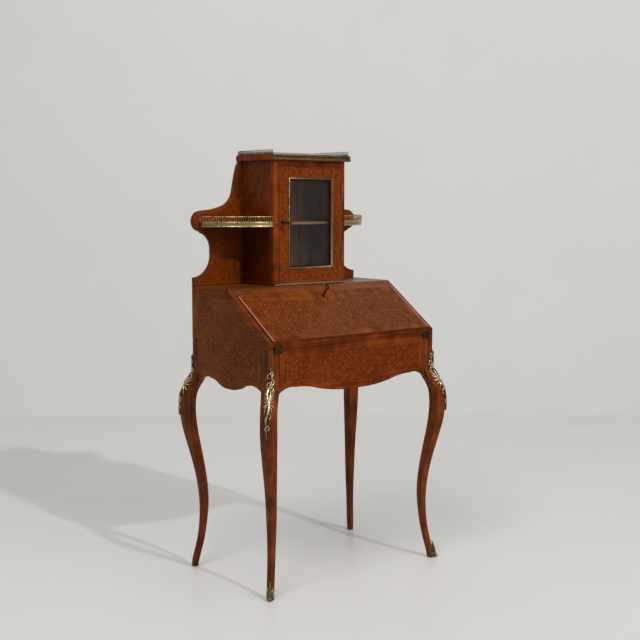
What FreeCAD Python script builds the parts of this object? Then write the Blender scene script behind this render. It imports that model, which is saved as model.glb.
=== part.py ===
import FreeCAD, Part
import math
import os
from types import SimpleNamespace

import Sketcher
from FreeCAD import Placement, Rotation, Vector

# Slant-front lady's writing desk on four cabriole legs, with a glazed cabinet, two galleried
# corner shelves and a shaped back board on its top. The frame's origin is on the floor under
# the middle of the carcass: +X to the right of a person at the desk, -Y to that person, +Z up.

# Driving sizes in millimetres, and angles in degrees
driving_sizes = {
    # carcass
    "carcass_width": 638.0,
    "carcass_depth": 397.0,
    "writing_height": 720.0,
    "carcass_rise": 160.0,
    "slope_angle": 34.0,
    "top_thickness": 20.0,
    "side_thickness": 15.0,
    "apron_thickness": 15.0,
    "bed_thickness": 12.0,
    "back_thickness": 10.0,
    "bearer_section": 16.0,
    # aprons and the lower edges of the sides
    "arch_drop": 112.0,
    "apron_lobe_drop": 136.5,
    "side_arch_drop": 113.0,
    "side_lobe_drop": 134.5,
    "bracket_drop": 158.0,
    # legs
    "post_width": 36.0,
    "knee_drop": 105.0,
    "knee_reach": 16.5,
    "ankle_reach": 30.5,
    # gilt mounts
    "knee_mount_drop": 44.0,
    "knee_mount_height": 200.0,
    "knee_mount_width": 40.0,
    "mount_rise": 5.0,
    "sabot_height": 60.0,
    "sabot_width": 27.0,
    "toe_reach": 12.0,
    "toe_radius": 6.0,
    "floor_gap": 0.6,
    # fall
    "fall_thickness": 20.5,
    "fall_proud": 5.0,
    "fall_side_gap": 0.6,
    "fall_top_gap": 1.0,
    "fall_seat_gap": 0.4,
    "leather_thickness": 1.2,
    "leather_side_margin": 38.0,
    "leather_bottom_margin": 24.0,
    "leather_top_margin": 52.0,
    "lock_rail_depth": 42.0,
    "lock_rail_lip": 8.0,
    "lock_rail_lip_thickness": 8.0,
    # pigeonholes and drawers
    "fitting_setback": 25.75,
    "fitting_board": 6.0,
    "middle_bay_width": 200.0,
    "drawer_bay_height": 52.0,
    "drawer_gap": 0.5,
    "drawer_front_thickness": 9.0,
    "drawer_side_thickness": 5.0,
    "drawer_bottom_thickness": 4.0,
    "drawer_back_room": 6.0,
    "knob_radius": 6.5,
    "knob_length": 13.0,
    "knob_stem_radius": 2.2,
    # back board
    "back_board_thickness": 14.0,
    # cabinet
    "cabinet_width": 278.0,
    "cabinet_height": 380.0,
    "cabinet_setback": 9.6,
    "cabinet_side_thickness": 12.0,
    "cabinet_floor_thickness": 7.0,
    "left_stile_width": 20.5,
    "right_stile_width": 12.7,
    "stile_thickness": 18.0,
    "top_rail_height": 15.0,
    "cabinet_shelf_thickness": 8.0,
    "cabinet_shelf_setback": 8.0,
    "peg_width": 5.0,
    "peg_length": 9.0,
    "cabinet_top_thickness": 18.0,
    "cabinet_top_side_overhang": 12.5,
    "cabinet_top_front_overhang": 16.5,
    "cabinet_top_nose": 3.0,
    "base_moulding_height": 5.0,
    "base_moulding_reach": 3.5,
    # door
    "door_gap": 0.5,
    "door_stile_width": 35.5,
    "door_bottom_rail_height": 42.5,
    "door_top_rail_height": 36.5,
    "moulding_width": 9.5,
    "moulding_rise": 3.0,
    "moulding_depth": 7.0,
    "glass_thickness": 2.0,
    "glass_edge_gap": 0.4,
    "bead_width": 6.0,
    "bead_depth": 7.0,
    # hinges
    "hinge_standoff": 3.1,
    "knuckle_radius": 2.7,
    "hinge_pin_radius": 1.2,
    "hinge_pin_gap": 0.05,
    "knuckle_gap": 0.3,
    "leaf_thickness": 1.2,
    "fall_hinge_length": 30.0,
    "fall_hinge_leaf": 11.0,
    "door_hinge_length": 46.0,
    "door_hinge_leaf": 14.0,
    "lower_hinge_rise": 92.0,
    "upper_hinge_drop": 91.0,
    # locks and keys
    "lock_gap": 0.3,
    "lock_wall": 2.0,
    "lock_case_width": 40.0,
    "lock_case_foot": 9.0,
    "lock_case_thickness": 9.0,
    "fall_key_inset": 28.0,
    "door_key_inset": 13.5,
    "bolt_width": 14.0,
    "bolt_thickness": 4.0,
    "fall_bolt_throw": 8.0,
    "door_bolt_throw": 4.5,
    "key_shank_radius": 1.9,
    "key_bit_reach": 5.2,
    "key_bit_thickness": 1.8,
    "key_bit_width": 3.0,
    "keyhole_gap": 0.5,
    "key_length": 44.0,
    "key_bow_radius": 9.0,
    "key_bow_wire": 1.8,
    # corner shelves
    "shelf_margin": 17.0,
    "shelf_thickness": 12.0,
    "shelf_band_height": 16.0,
    "shelf_band_thickness": 1.6,
    "shelf_gallery_height": 16.0,
    "gallery_rail_height": 2.6,
    "baluster_width": 2.2,
    # gallery on the cabinet
    "top_gallery_height": 14.0,
    "top_gallery_thickness": 1.6,
    "top_gallery_side_inset": 3.5,
    "top_gallery_front_inset": 9.0,
    "piercing_width": 6.4,
    "piercing_height": 6.0,
    "piercing_pitch": 10.6,
    # how far a cutting tool runs past what it cuts
    "overrun": 5.0,
}
balusters_per_shelf = 24

# Heights up the cabinet and back board, as shares of the cabinet's height
cabinet_shelf_share = 0.487
door_key_share = 0.508
corner_shelf_share = 0.5105

doc = FreeCAD.newDocument("writing_desk")
sheet = doc.addObject("Spreadsheet::Sheet", "sizes")


def value_of(number):
    """The plain value of a size or a number."""
    return number.value if isinstance(number, Size) else float(number)


def formula_of(number):
    """The sheet formula of a size or a number."""
    return number.formula if isinstance(number, Size) else repr(float(number))


class Size:
    """A size from the sheet, or one worked out from such sizes, with its value and its formula."""

    def __init__(self, value, formula):
        self.value = value
        self.formula = formula

    def __add__(self, other):
        return Size(self.value + value_of(other), f"({self.formula} + {formula_of(other)})")

    def __sub__(self, other):
        return Size(self.value - value_of(other), f"({self.formula} - {formula_of(other)})")

    def __mul__(self, other):
        return Size(self.value * value_of(other), f"({self.formula} * {formula_of(other)})")

    def __truediv__(self, other):
        return Size(self.value / value_of(other), f"({self.formula} / {formula_of(other)})")

    def __neg__(self):
        return Size(-self.value, f"(0 - {self.formula})")

    __rmul__ = __mul__


def sine(angle):
    return Size(math.sin(math.radians(angle.value)), f"sin({angle.formula})")


def cosine(angle):
    return Size(math.cos(math.radians(angle.value)), f"cos({angle.formula})")


def tangent(angle):
    return Size(math.tan(math.radians(angle.value)), f"tan({angle.formula})")


def fill_sheet():
    """Write every driving size to the sheet and hand them back by name."""
    sizes = {}
    for row, (name, value) in enumerate(driving_sizes.items(), start=1):
        sheet.set(f"A{row}", name)
        sheet.set(f"B{row}", repr(value))
        sheet.setAlias(f"B{row}", name)
        sizes[name] = Size(value, f"sizes.{name}")
    doc.recompute()
    return SimpleNamespace(**sizes)


s = fill_sheet()
nought = Size(0.0, "0")


def bind(item, name, size):
    """Tie one property of a document object to a size."""
    item.setExpression(name, formula_of(size))


def move_to(item, place, rotation=None):
    """Give an object a turned place whose base is three sizes."""
    if rotation is not None:
        item.Placement = Placement(Vector(), rotation)
    for axis, size in zip("xyz", place):
        if value_of(size) != 0:
            bind(item, f"Placement.Base.{axis}", size)


def box(name, low, extent, rotation=None):
    item = doc.addObject("Part::Box", name)
    for side, size in zip(("Length", "Width", "Height"), extent):
        bind(item, side, size)
    move_to(item, low, rotation)
    return item


turn_to_axis = {
    "X": Rotation(Vector(0, 1, 0), 90),
    "Y": Rotation(Vector(1, 0, 0), -90),
    "Z": Rotation(),
}


def cylinder(name, base, radius, length, axis="Z"):
    """A cylinder that starts at its base and runs along +X, +Y or +Z."""
    item = doc.addObject("Part::Cylinder", name)
    bind(item, "Radius", radius)
    bind(item, "Height", length)
    move_to(item, base, turn_to_axis[axis])
    return item


def fuse(name, *items):
    item = doc.addObject("Part::MultiFuse", name)
    item.Shapes = list(items)
    return item


def cut(name, base, *tools):
    item = doc.addObject("Part::Cut", name)
    item.Base = base
    item.Tool = tools[0] if len(tools) == 1 else fuse(f"{name}_tools", *tools)
    return item


def common(name, base, tool):
    item = doc.addObject("Part::Common", name)
    item.Base = base
    item.Tool = tool
    return item


def group(name, *items):
    """Separate solids that share one node."""
    item = doc.addObject("Part::Compound", name)
    item.Links = list(items)
    return item


def mirror(name, source, normal):
    """The source's mirror image in a plane through the origin."""
    item = doc.addObject("Part::Mirroring", name)
    item.Source = source
    item.Normal = normal
    return item


def round_edges(name, base, radius, wanted):
    """Round the edges of a base that a test on their middle points picks."""
    doc.recompute()
    item = doc.addObject("Part::Fillet", name)
    item.Base = base
    picked = []
    for number, edge in enumerate(base.Shape.Edges, start=1):
        if wanted(edge.CenterOfMass):
            picked.append((number, radius.value, radius.value))
    item.Edges = picked
    return item


def arc_through(start, middle, end):
    """A sketch arc through three points, and whether it runs clockwise."""
    curve = Part.Arc(Vector(*start, 0), Vector(*middle, 0), Vector(*end, 0)).toShape().Curve
    centre = curve.Center
    clockwise = (
        (middle[0] - start[0]) * (end[1] - start[1])
        - (middle[1] - start[1]) * (end[0] - start[0])
    ) < 0
    first, last = (end, start) if clockwise else (start, end)
    angles = [math.atan2(point[1] - centre.y, point[0] - centre.x) for point in (first, last)]
    if angles[1] <= angles[0]:
        angles[1] += 2 * math.pi
    circle = Part.Circle(centre, Vector(0, 0, 1), curve.Radius)
    return Part.ArcOfCircle(circle, angles[0], angles[1]), clockwise


def draw_outline(sketch, *outlines):
    """Draw closed outlines: two sizes are a straight run's end, four an arc's middle and end."""
    edges = []
    guides = []
    joints = []
    pins = []
    for points in outlines:
        places = [(value_of(point[-2]), value_of(point[-1])) for point in points]
        ends = []
        for index, point in enumerate(points):
            start = places[index - 1]
            end = places[index]
            number = len(edges)
            if len(point) == 2:
                edges.append(Part.LineSegment(Vector(*start, 0), Vector(*end, 0)))
                ends.append((number, 1, 2))
                continue
            middle = (value_of(point[0]), value_of(point[1]))
            curve, clockwise = arc_through(start, middle, end)
            edges.append(curve)
            ends.append((number, 2, 1) if clockwise else (number, 1, 2))
            guides.append((number, middle, point[:2]))
        for index, point in enumerate(points):
            edge, start, end = ends[index]
            before, _, last = ends[index - 1]
            joints.append(Sketcher.Constraint("Coincident", before, last, edge, start))
            pins += [("DistanceX", edge, end, point[-2]), ("DistanceY", edge, end, point[-1])]
    sketch.addGeometry(edges, False)
    for number, (edge, middle, place) in enumerate(guides, start=len(edges)):
        sketch.addGeometry(Part.Point(Vector(*middle, 0)), True)
        joints.append(Sketcher.Constraint("PointOnObject", number, 1, edge))
        pins += [("DistanceX", number, 1, place[0]), ("DistanceY", number, 1, place[1])]
    pinned = [Sketcher.Constraint(way, edge, point, value_of(size)) for way, edge, point, size in pins]
    sketch.addConstraint(joints + pinned)
    for number, (_, _, _, size) in enumerate(pins, start=len(joints)):
        if value_of(size) != 0:
            sketch.setExpression(f"Constraints[{number}]", formula_of(size))


def sketch_on(body, name, role, offset):
    """A sketch on one of a body's own origin planes, moved along the plane's normal."""
    sketch = body.newObject("Sketcher::SketchObject", name)
    plane = next(item for item in body.Origin.OriginFeatures if item.Role == role)
    sketch.AttachmentSupport = [(plane, "")]
    sketch.MapMode = "FlatFace"
    if value_of(offset) != 0:
        bind(sketch, "AttachmentOffset.Base.z", offset)
    return sketch


def pad_outline(body, name, role, offset, length, *outlines):
    sketch = sketch_on(body, f"{name}_outline", role, offset)
    draw_outline(sketch, *outlines)
    pad = body.newObject("PartDesign::Pad", f"{name}_pad")
    pad.Profile = sketch
    bind(pad, "Length", length)
    return pad


def board(name, facing, points, start, thickness, *holes):
    """A board with an outline, between start and start + thickness along the axis that it faces."""
    body = doc.addObject("PartDesign::Body", name)
    if facing == "Y":
        pad_outline(body, name, "XZ_Plane", -(start + thickness), thickness, points, *holes)
    else:
        role = {"X": "YZ_Plane", "Z": "XY_Plane"}[facing]
        pad_outline(body, name, role, start, thickness, points, *holes)
    return body


def rectangle(low, high):
    """The corners of a rectangle between two opposite ones."""
    return [(low[0], low[1]), (high[0], low[1]), (high[0], high[1]), (low[0], high[1])]


# Places that many pieces share
half_width = s.carcass_width / 2
front = -(s.carcass_depth / 2)
back = s.carcass_depth / 2
inner_x = half_width - s.side_thickness
post_x = half_width - s.post_width
post_y = back - s.post_width
carcass_top = s.writing_height + s.carcass_rise
cabinet_top_underside = carcass_top + s.cabinet_height
top_underside = carcass_top - s.top_thickness
bracket_height = s.writing_height - s.bracket_drop
knee_top = s.writing_height - s.knee_drop
back_panel_front = back - s.back_thickness

# The slope: the sides' slanted edges lie in a plane that climbs from the front to the top board
seat_height = s.writing_height + s.fall_seat_gap
slope_start = seat_height + (s.fall_thickness - s.fall_proud) / cosine(s.slope_angle)
slope_length = (top_underside - slope_start) / sine(s.slope_angle)
slope_turn = Rotation(Vector(1, 0, 0), s.slope_angle.value)
fall_top = slope_length - s.fall_top_gap
fall_inside = s.fall_proud - s.fall_thickness


def slope_point(up, out):
    """The y and z of a point so far up the slope and so far out of its plane."""
    return (
        front + up * cosine(s.slope_angle) - out * sine(s.slope_angle),
        slope_start + up * sine(s.slope_angle) + out * cosine(s.slope_angle),
    )


def slope_reach(height):
    """The y at which the plane of the slope stands at a height."""
    return front + (height - slope_start) / tangent(s.slope_angle)


def slope_box(name, x, up, out, extent):
    """A box square to the slope, from its lowest corner across, up and out of the slope."""
    return box(name, (x, *slope_point(up, out)), extent, slope_turn)


# Each section of a leg: height as a share of the knee's top, how far the centre stands out along
# the diagonal as a share of the knee's reach (outward) or the ankle's (inward), width as a share
# of the post
leg_section_shares = [
    (0.000, 0.00, 0.42),
    (0.050, -0.16, 0.47),
    (0.130, -0.57, 0.475),
    (0.228, -0.88, 0.51),
    (0.317, -1.00, 0.58),
    (0.407, -0.92, 0.65),
    (0.504, -0.62, 0.72),
    (0.602, -0.18, 0.83),
    (0.699, 0.52, 0.94),
    (0.780, 0.97, 1.00),
    (0.838, 1.00, 1.00),
    (0.886, 0.76, 0.99),
    (0.927, 0.12, 1.00),
    (0.963, -0.36, 1.03),
]


def square_at(x, y, width):
    return rectangle((x - width / 2, y - width / 2), (x + width / 2, y + width / 2))


def leg_sections():
    """Height, centre's reach past the carcass along X and Y, and width, the post's foot last."""
    sections = []
    for height_share, reach_share, width_share in leg_section_shares:
        reach = (s.knee_reach if reach_share > 0 else s.ankle_reach) * reach_share
        sections.append(
            (knee_top * height_share, reach / math.sqrt(2), s.post_width * width_share)
        )
    sections.append((knee_top, -(s.post_width / 2), s.post_width))
    return sections


def make_leg(name, shift=nought):
    """The front left leg: squares swept along an S on the diagonal, then the straight post.

    A shift moves the whole form out along X and Y, for what lies on the two outer faces."""
    body = doc.addObject("PartDesign::Body", name)
    profiles = []
    for number, (height, reach, width) in enumerate(leg_sections()):
        sketch = sketch_on(body, f"{name}_section_{number}", "XY_Plane", height)
        outset = reach + shift
        draw_outline(sketch, square_at(-(half_width + outset), front - outset, width))
        profiles.append(sketch)
    sweep = body.newObject("PartDesign::AdditiveLoft", f"{name}_sweep")
    sweep.Profile = profiles[0]
    sweep.Sections = profiles[1:]
    inset = s.post_width / 2 - shift
    square = square_at(-(half_width - inset), front + inset, s.post_width)
    pad_outline(body, f"{name}_post", "XY_Plane", knee_top, s.writing_height - knee_top, square)
    return body


def make_legs():
    front_left = make_leg("leg_front_left")
    front_right = mirror("leg_front_right", front_left, Vector(1, 0, 0))
    rear_left = mirror("leg_rear_left", front_left, Vector(0, 1, 0))
    rear_right = mirror("leg_rear_right", rear_left, Vector(1, 0, 0))
    return [front_left, front_right, rear_left, rear_right]


def mirrored(points):
    """An outline's right half, from the middle bottom round to the middle top, and its left half."""
    left = []
    for index in range(len(points) - 1, 0, -1):
        end = points[index - 1]
        bend = points[index][:2] if len(points[index]) == 4 else ()
        left.append((*((-bend[0], bend[1]) if bend else ()), -end[-2], end[-1]))
    return left


def scalloped_half(half_span, arch_drop, lobe_drop, arch_share):
    """The right half of an apron's lower edge: middle lobe, arch and the bracket to the leg."""
    arch_x = half_span * arch_share
    arch_height = s.writing_height - arch_drop
    lobe_height = s.writing_height - lobe_drop
    rise = arch_height - lobe_height
    inside_leg = half_span - s.post_width / 5
    return [
        (nought, lobe_height),
        (arch_x * 0.36, lobe_height + rise * 0.1, arch_x * 0.62, lobe_height + rise * 0.5),
        (arch_x * 0.8, lobe_height + rise * 0.87, arch_x, arch_height),
        (
            half_span - s.post_width * 0.98,
            arch_height - (arch_height - bracket_height) * 0.3,
            half_span - s.post_width * 0.3,
            bracket_height,
        ),
        (inside_leg, bracket_height),
        (inside_leg, s.writing_height),
    ]


def make_aprons(legs):
    """Front and rear aprons, cut to the curve of the legs."""
    half = scalloped_half(half_width, s.arch_drop, s.apron_lobe_drop, 0.7)
    outline = half + [(-half[-1][0], half[-1][1])] + mirrored(half)[:-1]
    outline[0] = mirrored(half)[-1]
    front_blank = board("front_apron_blank", "Y", outline, front, s.apron_thickness)
    rear_start = back - s.apron_thickness
    rear_blank = board("rear_apron_blank", "Y", outline, rear_start, s.apron_thickness)
    return [
        cut("front_apron", front_blank, *legs[:2]),
        cut("rear_apron", rear_blank, *legs[2:]),
    ]


def make_side_panel(side, start, legs):
    """A side: scalloped below, with the cheek that flanks the fall above."""
    half = scalloped_half(back, s.side_arch_drop, s.side_lobe_drop, 0.47)
    rear = half[:-1] + [(half[-2][0], s.writing_height)]
    fore = mirrored(half)
    outline = rear + [
        (back, s.writing_height),
        (back, top_underside),
        (slope_reach(top_underside), top_underside),
        (front, slope_start),
        (front, s.writing_height),
        (-half[-1][0], s.writing_height),
    ]
    outline += fore[:-1]
    outline[0] = fore[-1]
    blank = board(f"side_panel_{side}_blank", "X", outline, start, s.side_thickness)
    return cut(f"side_panel_{side}", blank, *legs)


def make_top_board():
    outline = [
        (slope_reach(top_underside), top_underside),
        (back, top_underside),
        (back, carcass_top),
        (slope_reach(carcass_top), carcass_top),
    ]
    return board("top_board", "X", outline, -half_width, s.carcass_width)


def make_lock_rail(mortise):
    """The rail under the top board that stops the fall and takes its bolt."""
    lip_out = fall_inside - s.fall_seat_gap
    lip_up = fall_top - s.lock_rail_lip
    low = slope_point(lip_up, lip_out - s.lock_rail_lip_thickness)
    rear = slope_reach(top_underside) + s.lock_rail_depth
    outline = [
        slope_point(slope_length, nought),
        slope_point(slope_length, lip_out),
        slope_point(lip_up, lip_out),
        low,
        (rear, low[1]),
        (rear, top_underside),
    ]
    blank = board("lock_rail_blank", "X", outline, -inner_x, inner_x * 2)
    return cut("lock_rail", blank, mortise)


def make_carcass(legs, mortise):
    front_apron, rear_apron = make_aprons(legs)
    bed_blank = box(
        "writing_bed_blank",
        (-inner_x, front + s.apron_thickness, s.writing_height - s.bed_thickness),
        (inner_x * 2, s.carcass_depth - 2 * s.apron_thickness, s.bed_thickness),
    )
    bearers = []
    for side, low_x in (("left", -inner_x), ("right", inner_x - s.bearer_section)):
        bearers.append(
            box(
                f"bearer_{side}",
                (low_x, -post_y, s.writing_height - s.bed_thickness - s.bearer_section),
                (s.bearer_section, post_y * 2, s.bearer_section),
            )
        )
    back_panel = box(
        "back_panel",
        (-inner_x, back_panel_front, s.writing_height),
        (inner_x * 2, s.back_thickness, top_underside - s.writing_height),
    )
    return [
        front_apron,
        rear_apron,
        make_side_panel("left", -half_width, [legs[0], legs[2]]),
        make_side_panel("right", inner_x, [legs[1], legs[3]]),
        back_panel,
        make_top_board(),
        cut("writing_bed", bed_blank, *legs),
        group("bed_bearers", *bearers),
        make_lock_rail(mortise),
    ]


# Half outline of the leaf on the knee, as shares of its half width and its height, tip first
knee_leaf_shares = [
    (0.34, 0.92),
    (0.44, 0.78),
    (0.94, 0.60),
    (0.92, 0.44),
    (0.56, 0.26),
    (0.30, 0.08),
    (0.00, 0.00),
]
sabot_leaf_shares = [
    (0.34, 0.80),
    (0.82, 0.48),
    (1.00, 0.20),
    (1.00, 0.00),
]


def leaf_outline(shares, half_width_of_leaf, bottom, height):
    """A leaf's outline, with its tip at the top."""
    right = []
    left = []
    for across, up in shares:
        right.append((half_width_of_leaf * across, bottom + height * up))
        if across > 0:
            left.insert(0, (-(half_width_of_leaf * across), bottom + height * up))
    return right + left + [(nought, bottom + height)]


def leaf_cutter(name, outline):
    """A prism with the leaf's outline that runs out along the front left diagonal."""
    body = doc.addObject("PartDesign::Body", name)
    pad_outline(body, name, "XZ_Plane", nought, s.post_width * 2, outline)
    reach = s.post_width / 2
    move_to(
        body,
        (-(half_width - reach), front + reach, nought),
        Rotation(Vector(0, 0, 1), -45),
    )
    return body


def make_mounts(legs):
    """Gilt leaves on the four knees, and the two front feet's shoes with a scrolled toe."""
    core = make_leg("mount_core", s.mount_rise)
    knee_outline = leaf_outline(
        knee_leaf_shares,
        s.knee_mount_width / 2,
        s.writing_height - s.knee_mount_drop - s.knee_mount_height,
        s.knee_mount_height,
    )
    knee_blank = common("knee_leaf_blank", core, leaf_cutter("knee_leaf_prism", knee_outline))
    knee = cut("knee_leaf", knee_blank, legs[0])
    knee_right = mirror("knee_leaf_front_right", knee, Vector(1, 0, 0))
    knee_rear = mirror("knee_leaf_rear_left", knee, Vector(0, 1, 0))
    knee_far = mirror("knee_leaf_rear_right", knee_rear, Vector(1, 0, 0))
    shoe_outline = leaf_outline(
        sabot_leaf_shares, s.sabot_width / 2, s.floor_gap, s.sabot_height - s.floor_gap
    )
    shoe_leaf = common("shoe_leaf", core, leaf_cutter("shoe_leaf_prism", shoe_outline))
    toe = doc.addObject("Part::Cylinder", "shoe_toe")
    bind(toe, "Radius", s.toe_radius)
    bind(toe, "Height", s.sabot_width / 2)
    toe_reach = s.toe_reach / math.sqrt(2)
    half_toe = s.sabot_width / 4 / math.sqrt(2)
    move_to(
        toe,
        (
            -(half_width + toe_reach + half_toe),
            front - toe_reach + half_toe,
            s.floor_gap + s.toe_radius,
        ),
        Rotation(Vector(0, 0, 1), Vector(1, -1, 0)),
    )
    shoe = cut("shoe", fuse("shoe_blank", shoe_leaf, toe), legs[0])
    shoe_right = mirror("shoe_right", shoe, Vector(1, 0, 0))
    return [
        group("knee_mounts", knee, knee_right, knee_rear, knee_far),
        group("sabots", shoe, shoe_right),
    ]


# A lock is made about its keyhole: +Y is the way its bolt shoots and +Z points out at the key
door_lock_turn = Rotation(Vector(0, 0, 1), Vector(-1, 0, 0), Vector(0, -1, 0), "ZXY")


def make_lock(name, place, turn, inset, board_thickness, throw, mouth):
    """Case, bolt, key, the recess that the case needs in its board and the bolt's mortise.

    inset is from the keyhole to the board's edge, mouth from that edge to the mortised piece."""
    back_z = -board_thickness
    case_front = back_z + s.lock_case_thickness
    bolt_start = s.key_bit_reach + s.lock_gap + s.lock_wall / 2
    bolt_low = back_z + (s.lock_case_thickness - s.bolt_thickness) / 2
    gap = s.lock_gap
    hole_radius = s.key_shank_radius + s.keyhole_gap
    chamber_radius = s.key_bit_reach + gap
    chamber_low = back_z + s.lock_wall
    chamber_depth = s.key_bit_width + gap * 2

    def slab(part, low, extent):
        return box(f"{name}_{part}", low, extent)

    def keyhole(part):
        round_hole = cylinder(f"{name}_{part}_round", (nought, nought, chamber_low), hole_radius,
                              s.fall_thickness + s.overrun)
        half_slot = s.key_bit_thickness / 2 + s.keyhole_gap
        slot = slab(f"{part}_slot", (-half_slot, -(s.key_bit_reach + s.keyhole_gap), chamber_low),
                    (half_slot * 2, s.key_bit_reach, s.fall_thickness + s.overrun))
        return [round_hole, slot]

    case_low = (-(s.lock_case_width / 2), -s.lock_case_foot, back_z)
    case_extent = (s.lock_case_width, s.lock_case_foot + inset, s.lock_case_thickness)
    case_blank = slab("case_blank", case_low, case_extent)
    channel = slab(
        "channel",
        (-(s.bolt_width / 2) - gap, bolt_start - gap, bolt_low - gap),
        (s.bolt_width + gap * 2, inset, s.bolt_thickness + gap * 2),
    )
    chamber = cylinder(f"{name}_chamber", (nought, nought, chamber_low), chamber_radius,
                       chamber_depth)
    case = cut(f"{name}_case", case_blank, channel, chamber, *keyhole("case_hole"))
    bolt_bar = slab(
        "bolt_bar",
        (-(s.bolt_width / 2), bolt_start, bolt_low),
        (s.bolt_width, inset - bolt_start, s.bolt_thickness),
    )
    recess = fuse(
        f"{name}_recess",
        slab("recess_box", case_low, case_extent),
        *keyhole("recess_hole"),
    )
    mortise_room = slab(
        "mortise_room",
        (-(s.bolt_width / 2) - gap, inset, bolt_low - gap),
        (s.bolt_width + gap * 2, mouth + throw + gap * 2, s.bolt_thickness + gap * 2),
    )
    bit = slab(
        "bit",
        (-(s.key_bit_thickness / 2), -s.key_bit_reach, chamber_low + gap),
        (s.key_bit_thickness, s.key_bit_reach, s.key_bit_width),
    )
    shank = cylinder(f"{name}_shank", (nought, nought, chamber_low + gap), s.key_shank_radius,
                     s.key_length - s.key_bow_radius - chamber_low - gap)
    bow_z = s.key_length - s.key_bow_radius
    bow = cylinder(f"{name}_bow", (-s.key_bow_wire, nought, bow_z), s.key_bow_radius,
                   s.key_bow_wire * 2, "X")
    bow_hole = cylinder(f"{name}_bow_hole", (-s.key_bow_radius, nought, bow_z),
                        s.key_bow_radius - s.key_bow_wire * 2, s.key_bow_radius * 2, "X")
    key = cut(f"{name}_key", fuse(f"{name}_key_blank", shank, bit, bow), bow_hole)
    bolt = group(f"{name}_bolt", bolt_bar)
    mortise = group(f"{name}_mortise", mortise_room)
    for piece in (case, bolt, recess, mortise, key):
        move_to(piece, place, turn)
    return SimpleNamespace(case=case, bolt=bolt, recess=recess, mortise=mortise, key=key)


def make_fall(lock):
    """The slanting flap: its lower edge is plumb, its upper one square to the slope."""
    half_fall = inner_x - s.fall_side_gap
    outline = [
        (front, seat_height),
        (front, slope_start + s.fall_proud / cosine(s.slope_angle)),
        slope_point(fall_top, s.fall_proud),
        slope_point(fall_top, fall_inside),
    ]
    blank = board("fall_blank", "X", outline, -half_fall, half_fall * 2)
    leather_size = (
        (half_fall - s.leather_side_margin) * 2,
        fall_top - s.leather_bottom_margin - s.leather_top_margin,
        s.leather_thickness,
    )
    corner = (-(half_fall - s.leather_side_margin), s.leather_bottom_margin, fall_inside)
    leather = slope_box("fall_leather", *corner, leather_size)
    leather_recess = slope_box("leather_recess", *corner, leather_size)
    return [cut("fall_board", blank, leather_recess, lock.recess), leather]


def knuckles(name, length, low, high, along, bored):
    """One length of knuckle from low to high along a hinge, solid or bored for the pin."""
    start = tuple((low - length / 2) if axis == along else nought for axis in "XYZ")
    barrel = cylinder(f"{name}_barrel", start, s.knuckle_radius, high - low, along)
    if not bored:
        return barrel
    bore = cylinder(f"{name}_bore", start, s.hinge_pin_radius + s.hinge_pin_gap, high - low, along)
    return cut(f"{name}_knuckle", barrel, bore)


def make_hinge(name, along, length, fixed_low, moving_low, leaf_extent):
    """A butt hinge about its own axis: fixed leaf with outer knuckles and pin, and moving leaf.

    Each leaf is a plate from its low corner; the moving leaf has the middle third's knuckle."""
    third = length / 3
    gap = s.knuckle_gap
    number = "XYZ".index(along)

    def clearance(part, low, high):
        start = [nought, nought, nought]
        start[number] = low - length / 2
        return cylinder(f"{name}_{part}", start, s.knuckle_radius + gap, high - low, along)

    fixed_plate = cut(
        f"{name}_fixed_plate",
        box(f"{name}_fixed_blank", fixed_low, leaf_extent),
        clearance("fixed_room", third - gap, third * 2 + gap),
    )
    moving_plate = cut(
        f"{name}_moving_plate",
        box(f"{name}_moving_blank", moving_low, leaf_extent),
        clearance("near_room", -s.overrun, third + gap),
        clearance("far_room", third * 2 - gap, length + s.overrun),
    )
    pin_start = [nought, nought, nought]
    pin_start[number] = -(length / 2)
    fixed = fuse(
        f"{name}_fixed",
        fixed_plate,
        knuckles(f"{name}_near", length, nought, third, along, False),
        knuckles(f"{name}_far", length, third * 2, length, along, False),
        cylinder(f"{name}_pin", pin_start, s.hinge_pin_radius, length, along),
    )
    middle = knuckles(f"{name}_middle", length, third + gap, third * 2 - gap, along, True)
    moving_blank = fuse(f"{name}_moving_solid", moving_plate, middle)
    bore_start = [nought, nought, nought]
    bore_start[number] = -(length / 2)
    bore = cylinder(f"{name}_pin_room", bore_start, s.hinge_pin_radius + s.hinge_pin_gap, length,
                    along)
    moving = cut(f"{name}_moving", moving_blank, bore)
    return fixed, moving


# The fall's hinge axis: the open fall's inside comes level with the writing bed
hinge_rise = (s.fall_seat_gap + s.hinge_standoff * sine(s.slope_angle)) / (
    cosine(s.slope_angle) + 1
)
fall_axis_y = front - s.hinge_standoff
fall_axis_z = seat_height - hinge_rise


def make_fall_hinges():
    """Two hinges planted on the front: one leaf on the post and apron, one on the fall's edge."""
    centre_x = inner_x - s.fall_side_gap - s.fall_hinge_length / 2
    plate_y = s.hinge_standoff - s.leaf_thickness
    fixed_pieces = []
    moving_pieces = []
    for side, x in (("left", -centre_x), ("right", centre_x)):
        top = seat_height - fall_axis_z + s.knuckle_gap
        low = s.writing_height - fall_axis_z - s.fall_hinge_leaf
        fixed, moving = make_hinge(
            f"fall_hinge_{side}",
            "X",
            s.fall_hinge_length,
            (-(s.fall_hinge_length / 2), plate_y, low),
            (-(s.fall_hinge_length / 2), plate_y, top),
            (s.fall_hinge_length, s.leaf_thickness, s.fall_hinge_leaf),
        )
        for piece in (fixed, moving):
            move_to(piece, (x, fall_axis_y, fall_axis_z))
        fixed_pieces.append(fixed)
        moving_pieces.append(moving)
    return [
        group("fall_hinge_fixed_leaves", *fixed_pieces),
        group("fall_hinge_moving_leaves", *moving_pieces),
    ]


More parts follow.
